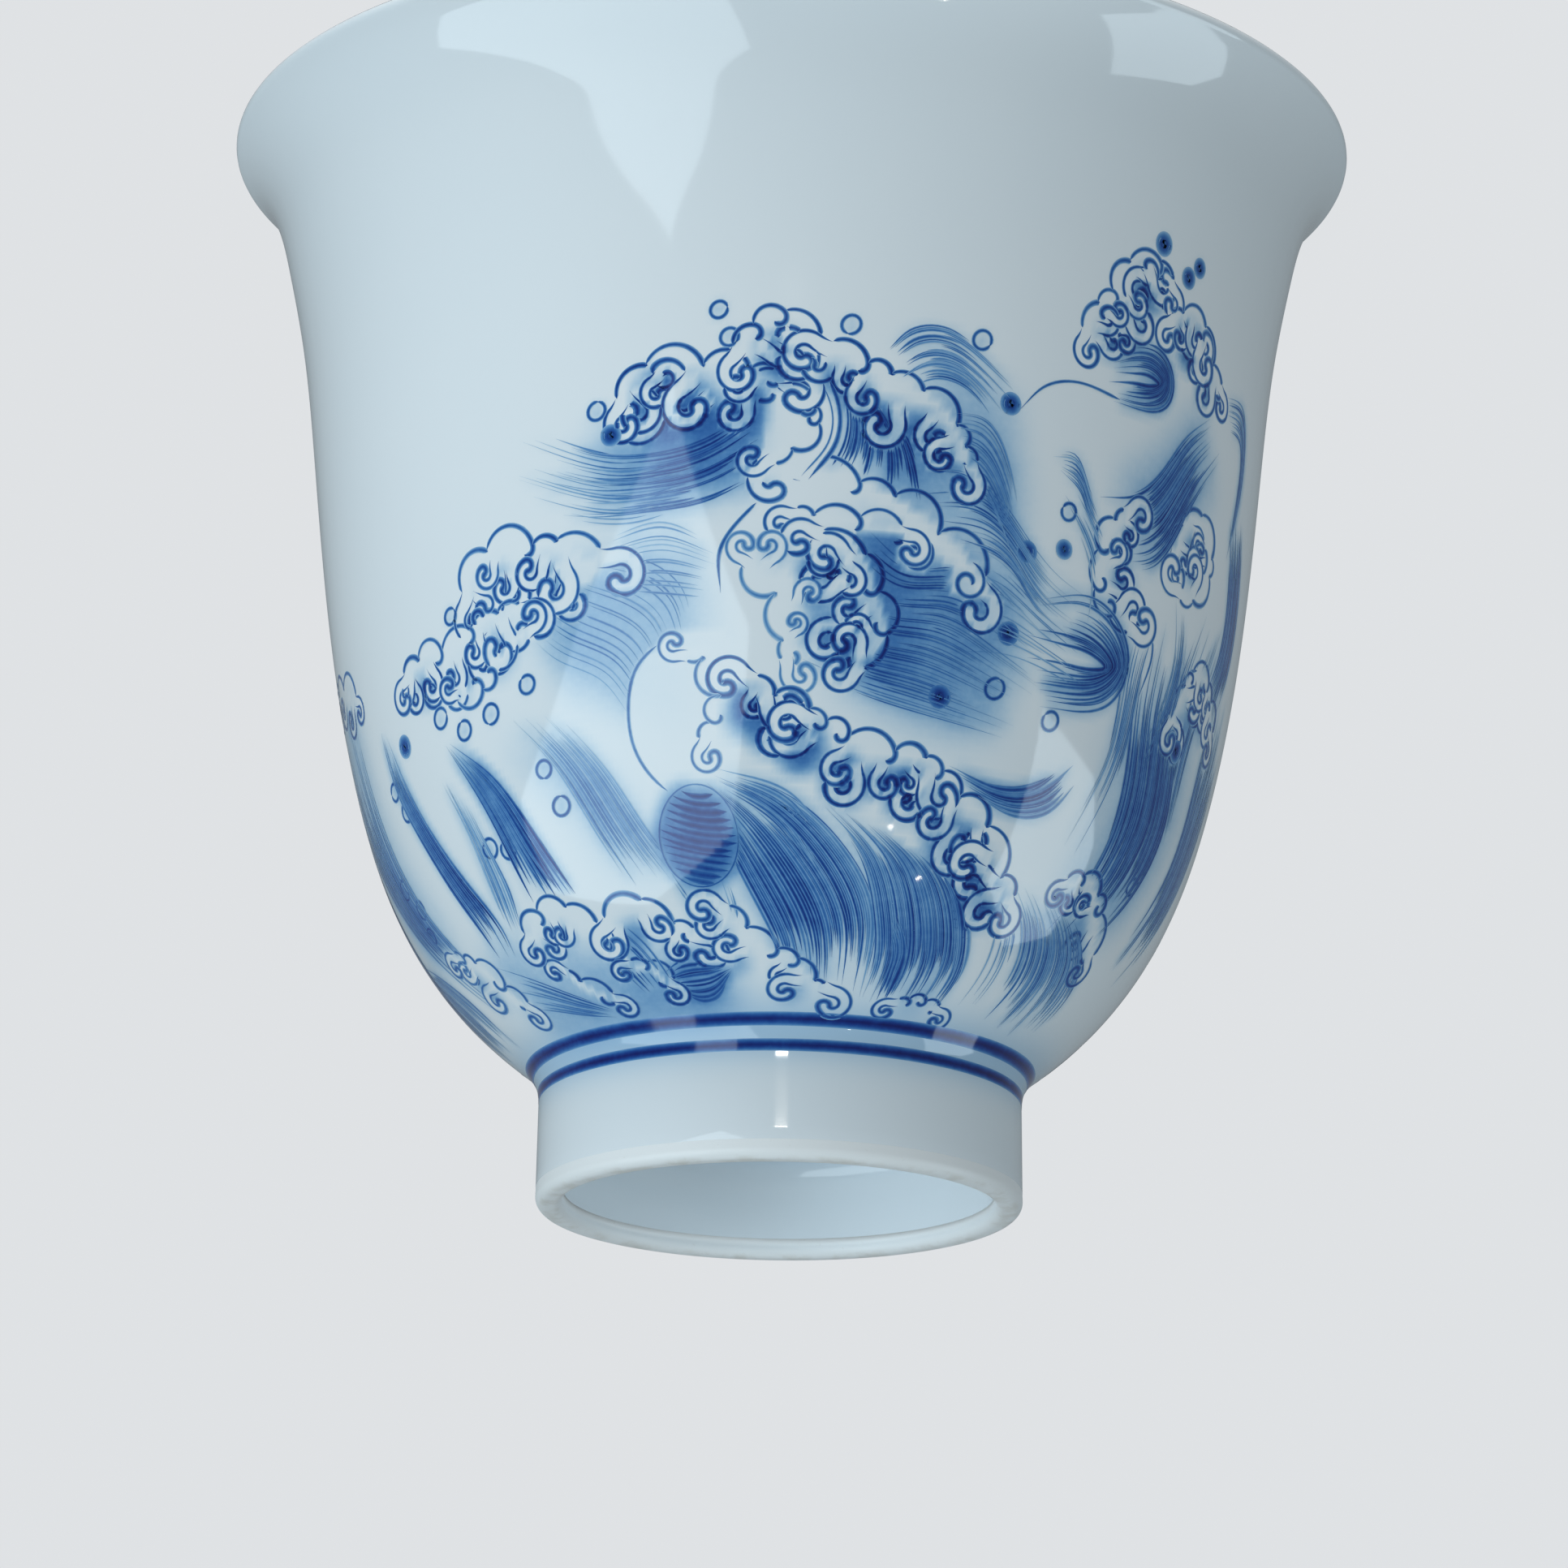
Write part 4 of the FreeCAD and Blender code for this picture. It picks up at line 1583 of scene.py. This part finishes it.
# ---- painting: from the plan to the wall ---------------------------------------------
class Tint:
    """How much thin cobalt wash lies on each spot of the wall."""

    columns = 1440
    low = -1.0
    high = 54.0
    step = 0.15
    strength = 0.30
    left = 0.12          # share of the wash that stays on a ground
    most = 0.85          # the wash never gets darker than this

    def __init__(self, wall: Wall) -> None:
        """Starts with a clean wall.

        Args:
            wall: The unrolled wall.
        """
        self.wall = wall
        self.width = math.tau * MID_GIRTH / self.columns
        self.rows = int((self.high - self.low) / self.step)
        self.amount = np.zeros((self.rows, self.columns))

    def window(self, centre: Array, reach: float) -> tuple:
        """The cells round a spot and their true distances from it.

        Args:
            centre: Plan point.
            reach: How far to look, in millimetres.

        Returns:
            Row numbers, column numbers, and the distances.
        """
        stretch = float(self.wall.girth(centre[1])) / MID_GIRTH
        wide = int(reach / stretch / self.width) + 1
        column = int(round(centre[0] / self.width))
        row = int(round((centre[1] - self.low) / self.step))
        tall = int(reach / self.step) + 1
        rows = np.arange(max(0, row - tall), min(self.rows, row + tall + 1))
        columns = np.arange(column - wide, column + wide + 1)
        dx = (columns * self.width - centre[0]) * stretch
        dy = rows * self.step + self.low - centre[1]
        return rows, columns % self.columns, np.hypot(dx[None, :], dy[:, None])

    def lay(self, tone: Tone) -> None:
        """Adds the wash of one tone.

        Args:
            tone: The tone.
        """
        path = tone.path
        if len(path) > 1:
            pace = max(1, int(tone.spread * 0.8 / max(along(path)[-1] / len(path), 1e-6)))
            gap = along(path)[-1] / max(1, len(path) // pace)
            path = path[::pace]
            weight = tone.amount * min(1.0, gap / (tone.spread * 2.5))
        else:
            weight = tone.amount
        for centre in path:
            rows, columns, gap = self.window(centre, tone.spread * 2.4)
            if len(rows):
                drop = self.strength * weight * np.exp(-0.5 * (gap / tone.spread) ** 2)
                self.amount[np.ix_(rows, columns)] += drop

    def lift_ground(self, ground: Array) -> None:
        """Takes the wash off a closed outline.

        Args:
            ground: The outline, on the plan.
        """
        low, high = ground.min(0), ground.max(0)
        rows = np.arange(max(0, int((low[1] - self.low) / self.step)), min(self.rows,
            int((high[1] - self.low) / self.step) + 2))
        columns = np.arange(int(low[0] / self.width) - 1, int(high[0] / self.width) + 2)
        x, y = np.meshgrid(columns * self.width, rows * self.step + self.low)
        inside = inside_ground(np.stack([x.ravel(), y.ravel()], 1), ground).reshape(x.shape)
        cells = np.ix_(rows, columns % self.columns)
        self.amount[cells] *= np.where(inside, self.left, 1.0)

    def at(self, plan: Array) -> Array:
        """Wash at plan points.

        Args:
            plan: Plan points.

        Returns:
            The cobalt of the wash at each.
        """
        x = plan[:, 0] / self.width
        y = np.clip((plan[:, 1] - self.low) / self.step, 0, self.rows - 1.001)
        column, row = np.floor(x).astype(int), np.floor(y).astype(int)
        fx, fy = x - column, y - row
        a, b = column % self.columns, (column + 1) % self.columns
        value = (self.amount[row, a] * (1 - fx) * (1 - fy) + self.amount[row, b] * fx * (1 - fy)
                 + self.amount[row + 1, a] * (1 - fx) * fy + self.amount[row + 1, b] * fx * fy)
        value = np.where(plan[:, 1] < self.high - 1, value, 0.0)
        return self.most * (1 - np.exp(-value / self.most))


class BrushTree:
    """Geometry tree that wraps brush strokes from the flat plan onto the wall."""

    lowest = 0.007       # how far the strokes lie above the wall, in millimetres
    layer = 0.0009       # how much further each of the next ones does
    layers = 12
    finest = 0.004       # least half width of a stroke
    faint_edge = 0.12    # share of its cobalt that a stroke has at its edge

    def __init__(self) -> None:
        """Builds the tree."""
        bench, given = open_tree("Brush strokes on the wall", {"Outline": "Object",
            "Glazed wall": "Object", "Pressure": "Float", "Points across": "Int"})
        outline = bench.add("GeometryNodeObjectInfo", None, {"Object": given["Outline"]})
        section = bench.shape("MeshToCurve", {"Mesh": outline.outputs["Geometry"]})
        lines = bench.shape("MeshToCurve", {"Mesh": given["Geometry"]})
        bearing, rise, lift = bench.split(bench.shape("InputPosition"))
        at = bench.add("GeometryNodeSampleCurve", {"mode": "LENGTH", "data_type": "FLOAT"},
            {"Curves": section, "Length": rise}).outputs
        radius, _, height = bench.split(at["Position"])
        inward, _, out_x = bench.split(at["Tangent"])
        out_z = -inward
        reach, up = radius + out_x * lift, height + out_z * lift
        sine, cosine = bearing.then("SINE"), bearing.then("COSINE")
        place = bench.join(reach * sine, -(reach * cosine), up)
        outward = bench.join(out_x * sine, -(out_x * cosine), out_z)
        layered = self.keep(bench, lines, "lift", lift)
        kept = self.keep(bench, layered, "outward", outward, "FLOAT_VECTOR")
        moved = bench.shape("SetPosition", {"Geometry": kept, "Position": place})
        read = self.kept(bench, "outward", "FLOAT_VECTOR")
        facing_out = bench.wire("GeometryNodeSetCurveNormal", {"mode": "FREE"}, {"Curve": moved,
            "Normal": read})
        line = bench.shape("CurvePrimitiveLine", {"Start": (0.0, -1.0, 0.0), "End": (0.0, 1.0, 0.0)})
        bristles = bench.shape("ResampleCurve", {"Curve": line, "Count": given["Points across"]})
        factor = Value(bench, bench.add("GeometryNodeSplineParameter").outputs["Factor"])
        middle = 1.0 - (factor * 2.0 - 1.0).then("ABSOLUTE")
        brush = self.keep(bench, bristles, "across", middle)
        size = Value(bench, self.kept(bench, "half")) * Value(bench, given["Pressure"])
        ribbon = bench.shape("CurveToMesh", {"Curve": facing_out, "Profile Curve": brush, "Scale": size})
        glazed = bench.add("GeometryNodeObjectInfo", None, {"Object": given["Glazed wall"]})
        near = bench.add("GeometryNodeProximity", {"target_element": "FACES"},
            {"Geometry": glazed.outputs["Geometry"]})
        raised = bench.wire("ShaderNodeVectorMath", {"operation": "SCALE"}, {0: read,
            "Scale": self.kept(bench, "lift")})
        resting = bench.wire("ShaderNodeVectorMath", {"operation": "ADD"}, {0: near.outputs["Position"],
            1: raised})
        pressed = bench.shape("SetPosition", {"Geometry": ribbon, "Position": resting})
        close_tree(bench, pressed, given["Finish"])
        self.tree = bench.tree

    @staticmethod
    def keep(bench: Bench, shape: Socket, name: str, value: object,
             kind: str = "FLOAT") -> Socket:
        """Stores a value on the points of a geometry.

        Args:
            bench: The bench for the nodes.
            shape: The geometry.
            name: Name of the stored value.
            value: The value, or the socket that carries it.
            kind: Its data type.

        Returns:
            The geometry with the value on it.
        """
        return bench.wire("GeometryNodeStoreNamedAttribute", {"data_type": kind, "domain": "POINT"},
            {"Geometry": shape, "Name": name, "Value": value})

    @staticmethod
    def kept(bench: Bench, name: str, kind: str = "FLOAT") -> Socket:
        """A value that was stored on the points."""
        return bench.wire("GeometryNodeInputNamedAttribute", {"data_type": kind}, {"Name": name})

    def paint(self, name: str, wall: Wall, strokes: list, washes: list, guide: tuple,
              finish: Finish, pressure: float = 1.0,
              ring: bool = False) -> Piece:
        """Lays strokes on the wall as one piece.

        Args:
            name: The piece's name.
            wall: The unrolled wall.
            strokes: The strokes.
            washes: The wash that lies under each stroke's points.
            guide: The outline object that the strokes follow, and the glazed wall.
            finish: The piece's material.
            pressure: Scale of every stroke's width.
            ring: Whether each stroke runs all the way round and closes.

        Returns:
            The piece.
        """
        points, edges, half, ink, wash, first = [], [], [], [], [], 0
        for number, (stroke, under) in enumerate(zip(strokes, washes)):
            count = len(stroke.path)
            lift = (self.lowest + self.layer * (number % self.layers)) * MM
            place = np.full((count, 3), lift)
            place[:, 0] = stroke.path[:, 0] / MID_GIRTH
            place[:, 1] = (stroke.path[:, 1] + wall.start) * MM
            points.append(place)
            chain = np.arange(first, first + count - 1)
            edges.append(np.stack([chain, chain + 1], 1))
            if ring:
                edges.append(np.array([[first + count - 1, first]]))
            half.append(np.maximum(stroke.half, self.finest) * MM)
            ink.append(stroke.ink)
            wash.append(under)
            first += count
        base = point_chain(name, np.concatenate(points), np.concatenate(edges))
        for key, values in (("half", half), ("ink", ink), ("wash", wash)):
            store(base.data, key, np.concatenate(values))
        inputs = {"Outline": guide[0], "Glazed wall": guide[1], "Pressure": pressure, "Points across": 3,
            "Finish": finish}
        piece = run_tree(base, self.tree, inputs, name)
        mesh = piece.data
        ink, wash, across = (read_all(mesh.attributes[key].data, "value") for key in ("ink", "wash",
            "across"))
        normals = read_all(mesh.attributes["outward"].data, "vector", 3)
        cobalt = wash + ink * (self.faint_edge + (1 - self.faint_edge) * across)
        for key in ("half", "ink", "wash", "across", "outward", "lift"):
            if key in mesh.attributes:
                mesh.attributes.remove(mesh.attributes[key])
        store(mesh, "cobalt", cobalt)
        turn_outwards(mesh, normals, np.ones(len(normals), bool))
        mesh.normals_split_custom_set_from_vertices(normals.tolist())
        return piece


def lay_out_round(piece: Piece, wall: Wall) -> None:
    """Gives a piece a map that is the wall unrolled, with a clean seam at the back.

    Args:
        piece: The piece.
        wall: The unrolled wall.
    """
    mesh = piece.data
    co = read_all(mesh.vertices, "co", 3)
    u = np.arctan2(co[:, 0], -co[:, 1]) / math.tau + 0.5
    v = wall.rise_at(co[:, 2] / MM) / MAP_HEIGHT + MAP_START
    corners = read_all(mesh.loops, "vertex_index", 1, np.int32)
    start = read_all(mesh.polygons, "loop_start", 1, np.int32)
    flat = np.stack([u[corners], v[corners]], 1)
    low = np.minimum.reduceat(flat[:, 0], start)
    high = np.maximum.reduceat(flat[:, 0], start)
    lengths = np.diff(np.append(start, len(corners)))
    split = np.repeat(high - low > 0.5, lengths)
    flat[split & (flat[:, 0] < 0.5), 0] += 1.0
    layer = mesh.uv_layers.new(name="OFBake")
    layer.data.foreach_set("uv", flat.astype(np.float32).ravel())


@dataclass
class Painter:
    """Lays the whole painting and the two bands on the glazed wall."""

    wall: Wall
    painting: WavePainting
    brush: BrushTree
    glaze: Finish
    band_ink: float = 1.6
    band_width: float = 0.70         # half width, as a share of the CAD band's height
    band_points: int = 720
    water_pressure: float = 1.1
    foam_pressure: float = 1.45
    most_points: int = 40000

    def prepare(self) -> None:
        """Works out every stroke and the wash, cutting what later motifs cover."""
        self.tint = Tint(self.wall)
        sheets = []
        for number, (motif, place) in enumerate(self.painting.placed()):
            rng = np.random.default_rng(self.painting.seed * 1000 + number)
            site = Site(self.wall, place, rng)
            sheets.extend((motif, sheet) for sheet in motif.lay(site))
        for _, sheet in sheets:
            for ground in sheet.grounds:
                self.tint.lift_ground(ground)
            for tone in sheet.tones:
                self.tint.lay(tone)
        self.families = {"painted_water": [], "painted_foam": [], "painted_spray": []}
        covers = Covers()
        for motif, sheet in reversed(sheets):
            family = FAMILIES.get(type(motif), "painted_water")
            for stroke in sheet.strokes:
                self.families[family].extend(covers.clip(stroke))
            covers.add(sheet.grounds)

    def paint(self, glazed: Piece) -> list:
        """Makes the painted pieces.

        Args:
            glazed: The glazed outside that they lie on.

        Returns:
            The pieces, each of which stands for the painting's CAD node.
        """
        guide = (section_line("outline_guide", self.wall.path), glazed)
        made = []
        for name, strokes in self.families.items():
            pressure = self.water_pressure if name == "painted_water" else self.foam_pressure
            for part, batch in enumerate(self.batches(strokes), 1):
                washes = [self.tint.at(stroke.path) for stroke in batch]
                made.append(self.brush.paint(f"{name}_{part}", self.wall, batch, washes, guide,
                                             self.glaze, pressure))
        for node in ("lower_blue_band", "upper_blue_band"):
            stroke = self.band(node)
            made.append(self.brush.paint(node, self.wall, [stroke], [0 * stroke.ink], guide, self.glaze,
                1.0, True))
            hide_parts(node)
        bpy.data.objects.remove(guide[0])
        for piece in made:
            lay_out_round(piece, self.wall)
        return made

    def batches(self, strokes: list) -> list:
        """Shares strokes out over pieces that are not too heavy.

        Args:
            strokes: The strokes.

        Returns:
            Lists of strokes, each with no more points than one piece may have.
        """
        shared, size = [], self.most_points
        for stroke in strokes:
            size += len(stroke.path)
            if size > self.most_points:
                shared.append([])
                size = len(stroke.path)
            shared[-1].append(stroke)
        return shared

    def band(self, node: str) -> Stroke:
        """One blue band, with a little sway and more cobalt where the brush was full.

        Args:
            node: The band's CAD node, which gives its place.

        Returns:
            The stroke, once round the cup.
        """
        low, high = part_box(node)
        rise = self.wall.rise_at(np.array([low.z, high.z]) / MM)
        rng = np.random.default_rng(len(node))
        bearing = np.linspace(0, math.tau, self.band_points, endpoint=False)
        sway = sum(np.sin(bearing * k + rng.uniform(0, 6)) / k for k in range(3, 12))
        path = np.stack([bearing * MID_GIRTH, rise.mean() + 0.012 * sway], 1)
        load = sum(np.sin(bearing * k + rng.uniform(0, 6)) / k for k in range(2, 14))
        half = (rise[1] - rise[0]) * self.band_width * (1 + 0.035 * load)
        return Stroke(path, half, self.band_ink * (1 + 0.10 * load))

    def stain(self, piece: Piece) -> None:
        """Stores the wash on the glazed wall.

        Args:
            piece: The glazed outside.
        """
        co = read_all(piece.data.vertices, "co", 3).astype(float)
        bearing = np.arctan2(co[:, 0], -co[:, 1])
        plan = np.stack([bearing * MID_GIRTH, self.wall.rise_at(co[:, 2] / MM)], 1)
        store(piece.data, "cobalt", self.tint.at(plan))


# ---- the cup -------------------------------------------------------------------------
@dataclass
class Cup:
    """The teacup: its glazed coats, its bare foot edge and its painting."""

    outline: CupOutline
    turns: int = 560
    foot_turns: int = 400
    coat: float = 0.2            # shown thickness of the glaze at its open edges
    depth: float = 0.45          # how deep the hidden side of a coat lies in the wall
    bare_step: float = 0.015     # how far the bare edge lies inside the glaze above it
    bare_lap: float = 0.12       # how far it reaches up under the glaze
    well_corner: float = 1.5
    well_depth: float = 0.12

    def build(self) -> list:
        """Makes and dresses every piece.

        Returns:
            The pieces that are shown.
        """
        wheel, wall = WheelTree(), Wall(self.outline)
        painted = GlazedPorcelain(painted=True, name="painted_glaze").make()
        clear = GlazedPorcelain().make()
        bare = BarePorcelain().make()
        outside = wheel.turn("glazed_outside", *self.outside(), self.turns, painted)
        inside = wheel.turn("glazed_inside", *self.inside(), self.turns, clear)
        foot = wheel.turn("bare_foot_edge", *self.foot(), self.foot_turns, bare)
        well = wheel.turn("glazed_well", *self.well(), self.foot_turns, clear)
        painter = Painter(wall, WavePainting(), BrushTree(), painted)
        painter.prepare()
        painter.stain(outside)
        strokes = painter.paint(outside)
        lay_out_round(outside, wall)
        for piece, node in ((outside, "outer_glaze"), (inside, "inner_glaze"),
                            (foot, "foot_ring"), (well, "well_glaze")):
            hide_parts(node)
        for piece in strokes:
            if piece.name.startswith("painted"):
                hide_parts("wave_painting")
        for node in ("bowl_body", "luting_slip"):
            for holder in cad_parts[node].material_slots:
                holder.material = bare
        return [outside, inside, foot, well, *strokes]

    def outside(self) -> tuple[Array, Array]:
        """The glazed outside, from the foot's bare edge to the lip's crest.

        Returns:
            The section's visible side and its hidden side.
        """
        base = self.outline
        foot = base.foot_side(base.bare_rim, base.foot_height, 0.6)
        cove, wall = base.cove(0.3), respaced(base.wall(FINE), 0.5)
        lip = base.lip_round(0, 90, 0, 7)
        face = np.concatenate([foot[:-1], cove[:-1], wall[:-1], lip])
        back = shifted(respaced(np.concatenate([cove[:-1], wall]), 2.6), self.depth)[::-1]
        inner = base.lip_round(90, 90, self.coat, 1)
        low = foot[:1] - np.array([[self.coat, 0.0]])
        hidden = np.concatenate([inner, back[1:], low])
        return face, hidden

    def inside(self) -> tuple[Array, Array]:
        """The glazed drinking side, from the lip's crest to the floor.

        Returns:
            The section's visible side and its hidden side.
        """
        base = self.outline
        lip = base.lip_round(90, 180, 0, 7)
        side = respaced(base.inside(FINE), 0.8)
        face = np.concatenate([lip[:-1], side])
        face[-1, 0] = 0.0
        back = shifted(respaced(side, 2.6), self.depth)[::-1]
        back[0] = [0.0, side[-1, 1] - self.depth]
        inner = base.lip_round(90, 90, self.coat, 1)
        hidden = np.concatenate([back, inner])
        return face, hidden

    def foot(self) -> tuple[Array, Array]:
        """The foot's bare edge, with its two rounded corners, down to where it stands.

        Returns:
            The section's visible side and its hidden side.
        """
        base = self.outline
        edge, bare, curve = self.bare_step, base.bare_rim, base.foot_round
        outer = base.foot_radius + base.foot_flare
        inner = base.well_radius(0)
        angle = np.linspace(0, math.pi / 2, 9)
        out_top = base.foot_side(bare, bare + 1, 1)[0] + np.array([-edge, self.bare_lap])
        in_top = np.array([base.well_radius(bare) + edge, bare + self.bare_lap])
        in_round = np.array([inner + curve, curve]) - curve * facing(angle)
        out_round = np.array([outer - curve, curve]) + curve * facing(angle - math.pi / 2)
        flat = np.linspace(inner + curve, outer - curve, 5)[1:-1]
        face = np.concatenate([in_top[None], in_round, np.stack([flat, 0 * flat], 1), out_round,
            out_top[None]])
        hidden = np.array([[out_top[0] - 0.25, bare + 0.5], [in_top[0] + 0.25, bare + 0.5]])
        return face, hidden

    def well(self) -> tuple[Array, Array]:
        """The glazed well under the cup, with glaze pooled in its corner.

        Returns:
            The section's visible side and its hidden side.
        """
        base, curve, deep = self.outline, self.well_corner, self.well_depth
        ceiling = base.foot_height - base.glaze
        side = np.linspace(base.bare_rim, ceiling - curve, 8)
        angle = np.linspace(0, math.pi / 2, 12)
        edge = base.well_radius(ceiling)
        corner = np.array([edge - curve, ceiling - curve]) + curve * facing(angle)
        top = np.linspace(edge - curve, 0, 14)[1:]
        face = np.concatenate([np.stack([[base.well_radius(h) for h in side], side], 1)[:-1], corner,
            np.stack([top, ceiling + 0 * top], 1)])
        face = face[::-1].copy()
        hidden = np.array([[base.well_radius(base.bare_rim) + deep, base.bare_rim], [edge + deep,
            ceiling + deep], [0.0, ceiling + deep]])
        return face, hidden


# ---- studio --------------------------------------------------------------------------
@dataclass
class Studio:
    """A pale floor, soft lights and the camera."""

    distance: float = 0.359
    camera_height: float = -0.07875
    pitch: float = 16.28
    roll: float = 0.70
    lens: float = 143.8
    floor_size: float = 1.6
    cup_middle: float = 0.035        # height that the lights face

    def build(self) -> None:
        """Sets the whole studio up."""
        self.floor()
        self.world()
        self.lights()
        self.camera()
        bpy.context.scene.view_settings.view_transform = "Standard"

    def camera(self) -> None:
        """Places the camera low in front of the cup, looking up at it."""
        data = bpy.data.cameras.new("camera")
        data.lens, data.sensor_width = self.lens, 36.0
        data.clip_start, data.clip_end = 0.01, 20.0
        data.dof.use_dof = False
        camera = bpy.data.objects.new("camera", data)
        bpy.context.scene.collection.objects.link(camera)
        turn = Matrix.Rotation(math.radians(90 + self.pitch), 4,
            "X") @ Matrix.Rotation(math.radians(self.roll), 4, "Z")
        camera.matrix_world = Matrix.Translation((0, -self.distance, self.camera_height)) @ turn
        bpy.context.scene.camera = camera

    def floor(self) -> None:
        """A plain pale floor that only shows from above."""
        half = self.floor_size / 2
        mesh = bpy.data.meshes.new("floor")
        mesh.from_pydata([(-half, -half, 0), (half, -half, 0), (half, half, 0), (-half, half, 0)], [],
            [(0, 1, 2, 3)])
        floor = new_object("floor", mesh)
        floor.location.z = -0.00002
        material, bench = empty_material("pale_floor")
        shader = bench.add("ShaderNodeBsdfPrincipled", None, {"Base Color": (0.86, 0.865, 0.87, 1),
            "Roughness": 0.85})
        self.one_sided(bench, shader.outputs[0])
        mesh.materials.append(material)
        for ray in ("diffuse", "glossy", "transmission", "shadow", "volume_scatter"):
            setattr(floor, f"visible_{ray}", False)
        floor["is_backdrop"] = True

    @staticmethod
    def one_sided(bench: Bench, shader: Socket) -> None:
        """Ends a material that is seen from its front and is clear from behind.

        Args:
            bench: The bench for its nodes.
            shader: What its front shows.
        """
        back = bench.add("ShaderNodeNewGeometry").outputs["Backfacing"]
        clear = bench.wire("ShaderNodeBsdfTransparent")
        mixed = bench.wire("ShaderNodeMixShader", None, {0: back, 1: shader, 2: clear})
        bench.add("ShaderNodeOutputMaterial", None, {"Surface": mixed})

    def world(self) -> None:
        """Pale behind the cup, and dimmer where the glaze mirrors it."""
        world = bpy.data.worlds.new("studio")
        world.use_nodes = True
        bench = Bench(world.node_tree)
        world.node_tree.nodes.clear()
        seen = Value(bench, bench.add("ShaderNodeLightPath").outputs["Is Camera Ray"])
        pale, dim = (0.74, 0.76, 0.78), (0.20, 0.225, 0.24)
        parts = [seen * (p - d) + d for p, d in zip(pale, dim)]
        ground = bench.add("ShaderNodeBackground", None, {"Color": bench.colour(parts), "Strength": 1.0})
        bench.add("ShaderNodeOutputWorld", None, {"Surface": ground.outputs[0]})
        bpy.context.scene.world = world

    @staticmethod
    def way(bearing: float, rise: float) -> Vector:
        """The direction from the cup with a bearing and a rise in degrees."""
        a, e = math.radians(bearing), math.radians(rise)
        return Vector((math.sin(a) * math.cos(e), -math.cos(a) * math.cos(e), math.sin(e)))

    def panel(self, name: str, bearing: float, rise: float, distance: float, size: tuple,
              glow: float, tone: tuple = (1, 1, 1), shiny: bool = True) -> None:
        """A soft rectangular light that faces the cup.

        Args:
            name: Its name.
            bearing: Degrees round from the front, to the right.
            rise: Degrees above the cup's middle.
            distance: Metres from the cup.
            size: Width and height in metres.
            glow: Brightness of its surface.
            tone: Its colour.
            shiny: Whether the glaze mirrors it.
        """
        data = bpy.data.lights.new(name, "AREA")
        data.shape, data.size, data.size_y = "RECTANGLE", size[0], size[1]
        data.energy = glow * size[0] * size[1] * math.pi
        data.color = tone
        light = bpy.data.objects.new(name, data)
        bpy.context.scene.collection.objects.link(light)
        way = self.way(bearing, rise)
        turn = way.to_track_quat("Z", "Y").to_matrix().to_4x4()
        light.visible_glossy = shiny
        place = Vector((0, 0, self.cup_middle)) + way * distance
        light.matrix_world = Matrix.Translation(place) @ turn

    def window(self, name: str, corners: list, distance: float, glow: float,
               tone: tuple) -> None:
        """A glowing sheet that faces the cup, cut to any outline.

        Args:
            name: Its name.
            corners: Bearing and rise of each corner as seen from the cup, in degrees.
            distance: Metres from the cup.
            glow: Brightness of its surface.
            tone: Its colour.
        """
        ways = [self.way(bearing, rise) for bearing, rise in corners]
        middle = sum(ways, Vector()).normalized()
        start = Vector((0, 0, self.cup_middle))
        points = [start + way * (distance / way.dot(middle)) for way in ways]
        mesh = bpy.data.meshes.new(name)
        mesh.from_pydata(points, [], [tuple(range(len(points)))])
        if mesh.polygons[0].normal.dot(middle) > 0:
            mesh.flip_normals()
        sheet = new_object(name, mesh)
        material, bench = empty_material(name)
        self.one_sided(bench, bench.wire("ShaderNodeEmission", None, {"Color": (*tone, 1.0),
            "Strength": glow}))
        mesh.materials.append(material)
        sheet.visible_camera = False
        sheet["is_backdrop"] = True

    def lights(self) -> None:
        """A large window at the front left, a smaller one at the right, and soft fills."""
        cool, plain, warm = (0.78, 0.92, 1.0), (1.0, 1.0, 1.0), (1.0, 0.93, 0.82)
        self.window("window_left", [(-80, -18), (-50, -2), (-27, 8), (-9, -7), (-17, -40), (-58, -52),
            (-86, -36)], 0.9, 2.8, cool)
        self.window("window_right", [(70, -7), (92, -9), (101, -16), (109, -32), (100, -43), (74, -37)],
            0.9, 2.9, cool)
        self.panel("overhead", -20, 78, 1.0, (0.9, 0.9), 3.6, plain)
        self.panel("back_fill", 170, 35, 1.2, (1.0, 0.8), 0.8, plain, shiny=False)
        self.panel("lamp_foot", 0.5, 11.3, 0.9, (0.085, 0.008), 90, warm)
        self.panel("lamp_low", 34, -35.5, 0.9, (0.010, 0.010), 80, warm)
        self.panel("lamp_lower", 51, -45, 0.9, (0.010, 0.010), 80, warm)


def main() -> None:
    """Builds the cup and its studio and reports each piece."""
    logging.basicConfig(level=logging.INFO, format="%(name)s: %(message)s")
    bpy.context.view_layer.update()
    cup = Cup(CupOutline.from_frame())
    for piece in cup.build():
        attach(piece, "root")
        faces = sum(len(p.vertices) - 2 for p in piece.data.polygons)
        LOG.info("%s: %d triangles", piece.name, faces)
    Studio().build()
    bpy.context.view_layer.update()


if __name__ == "__main__":
    main()
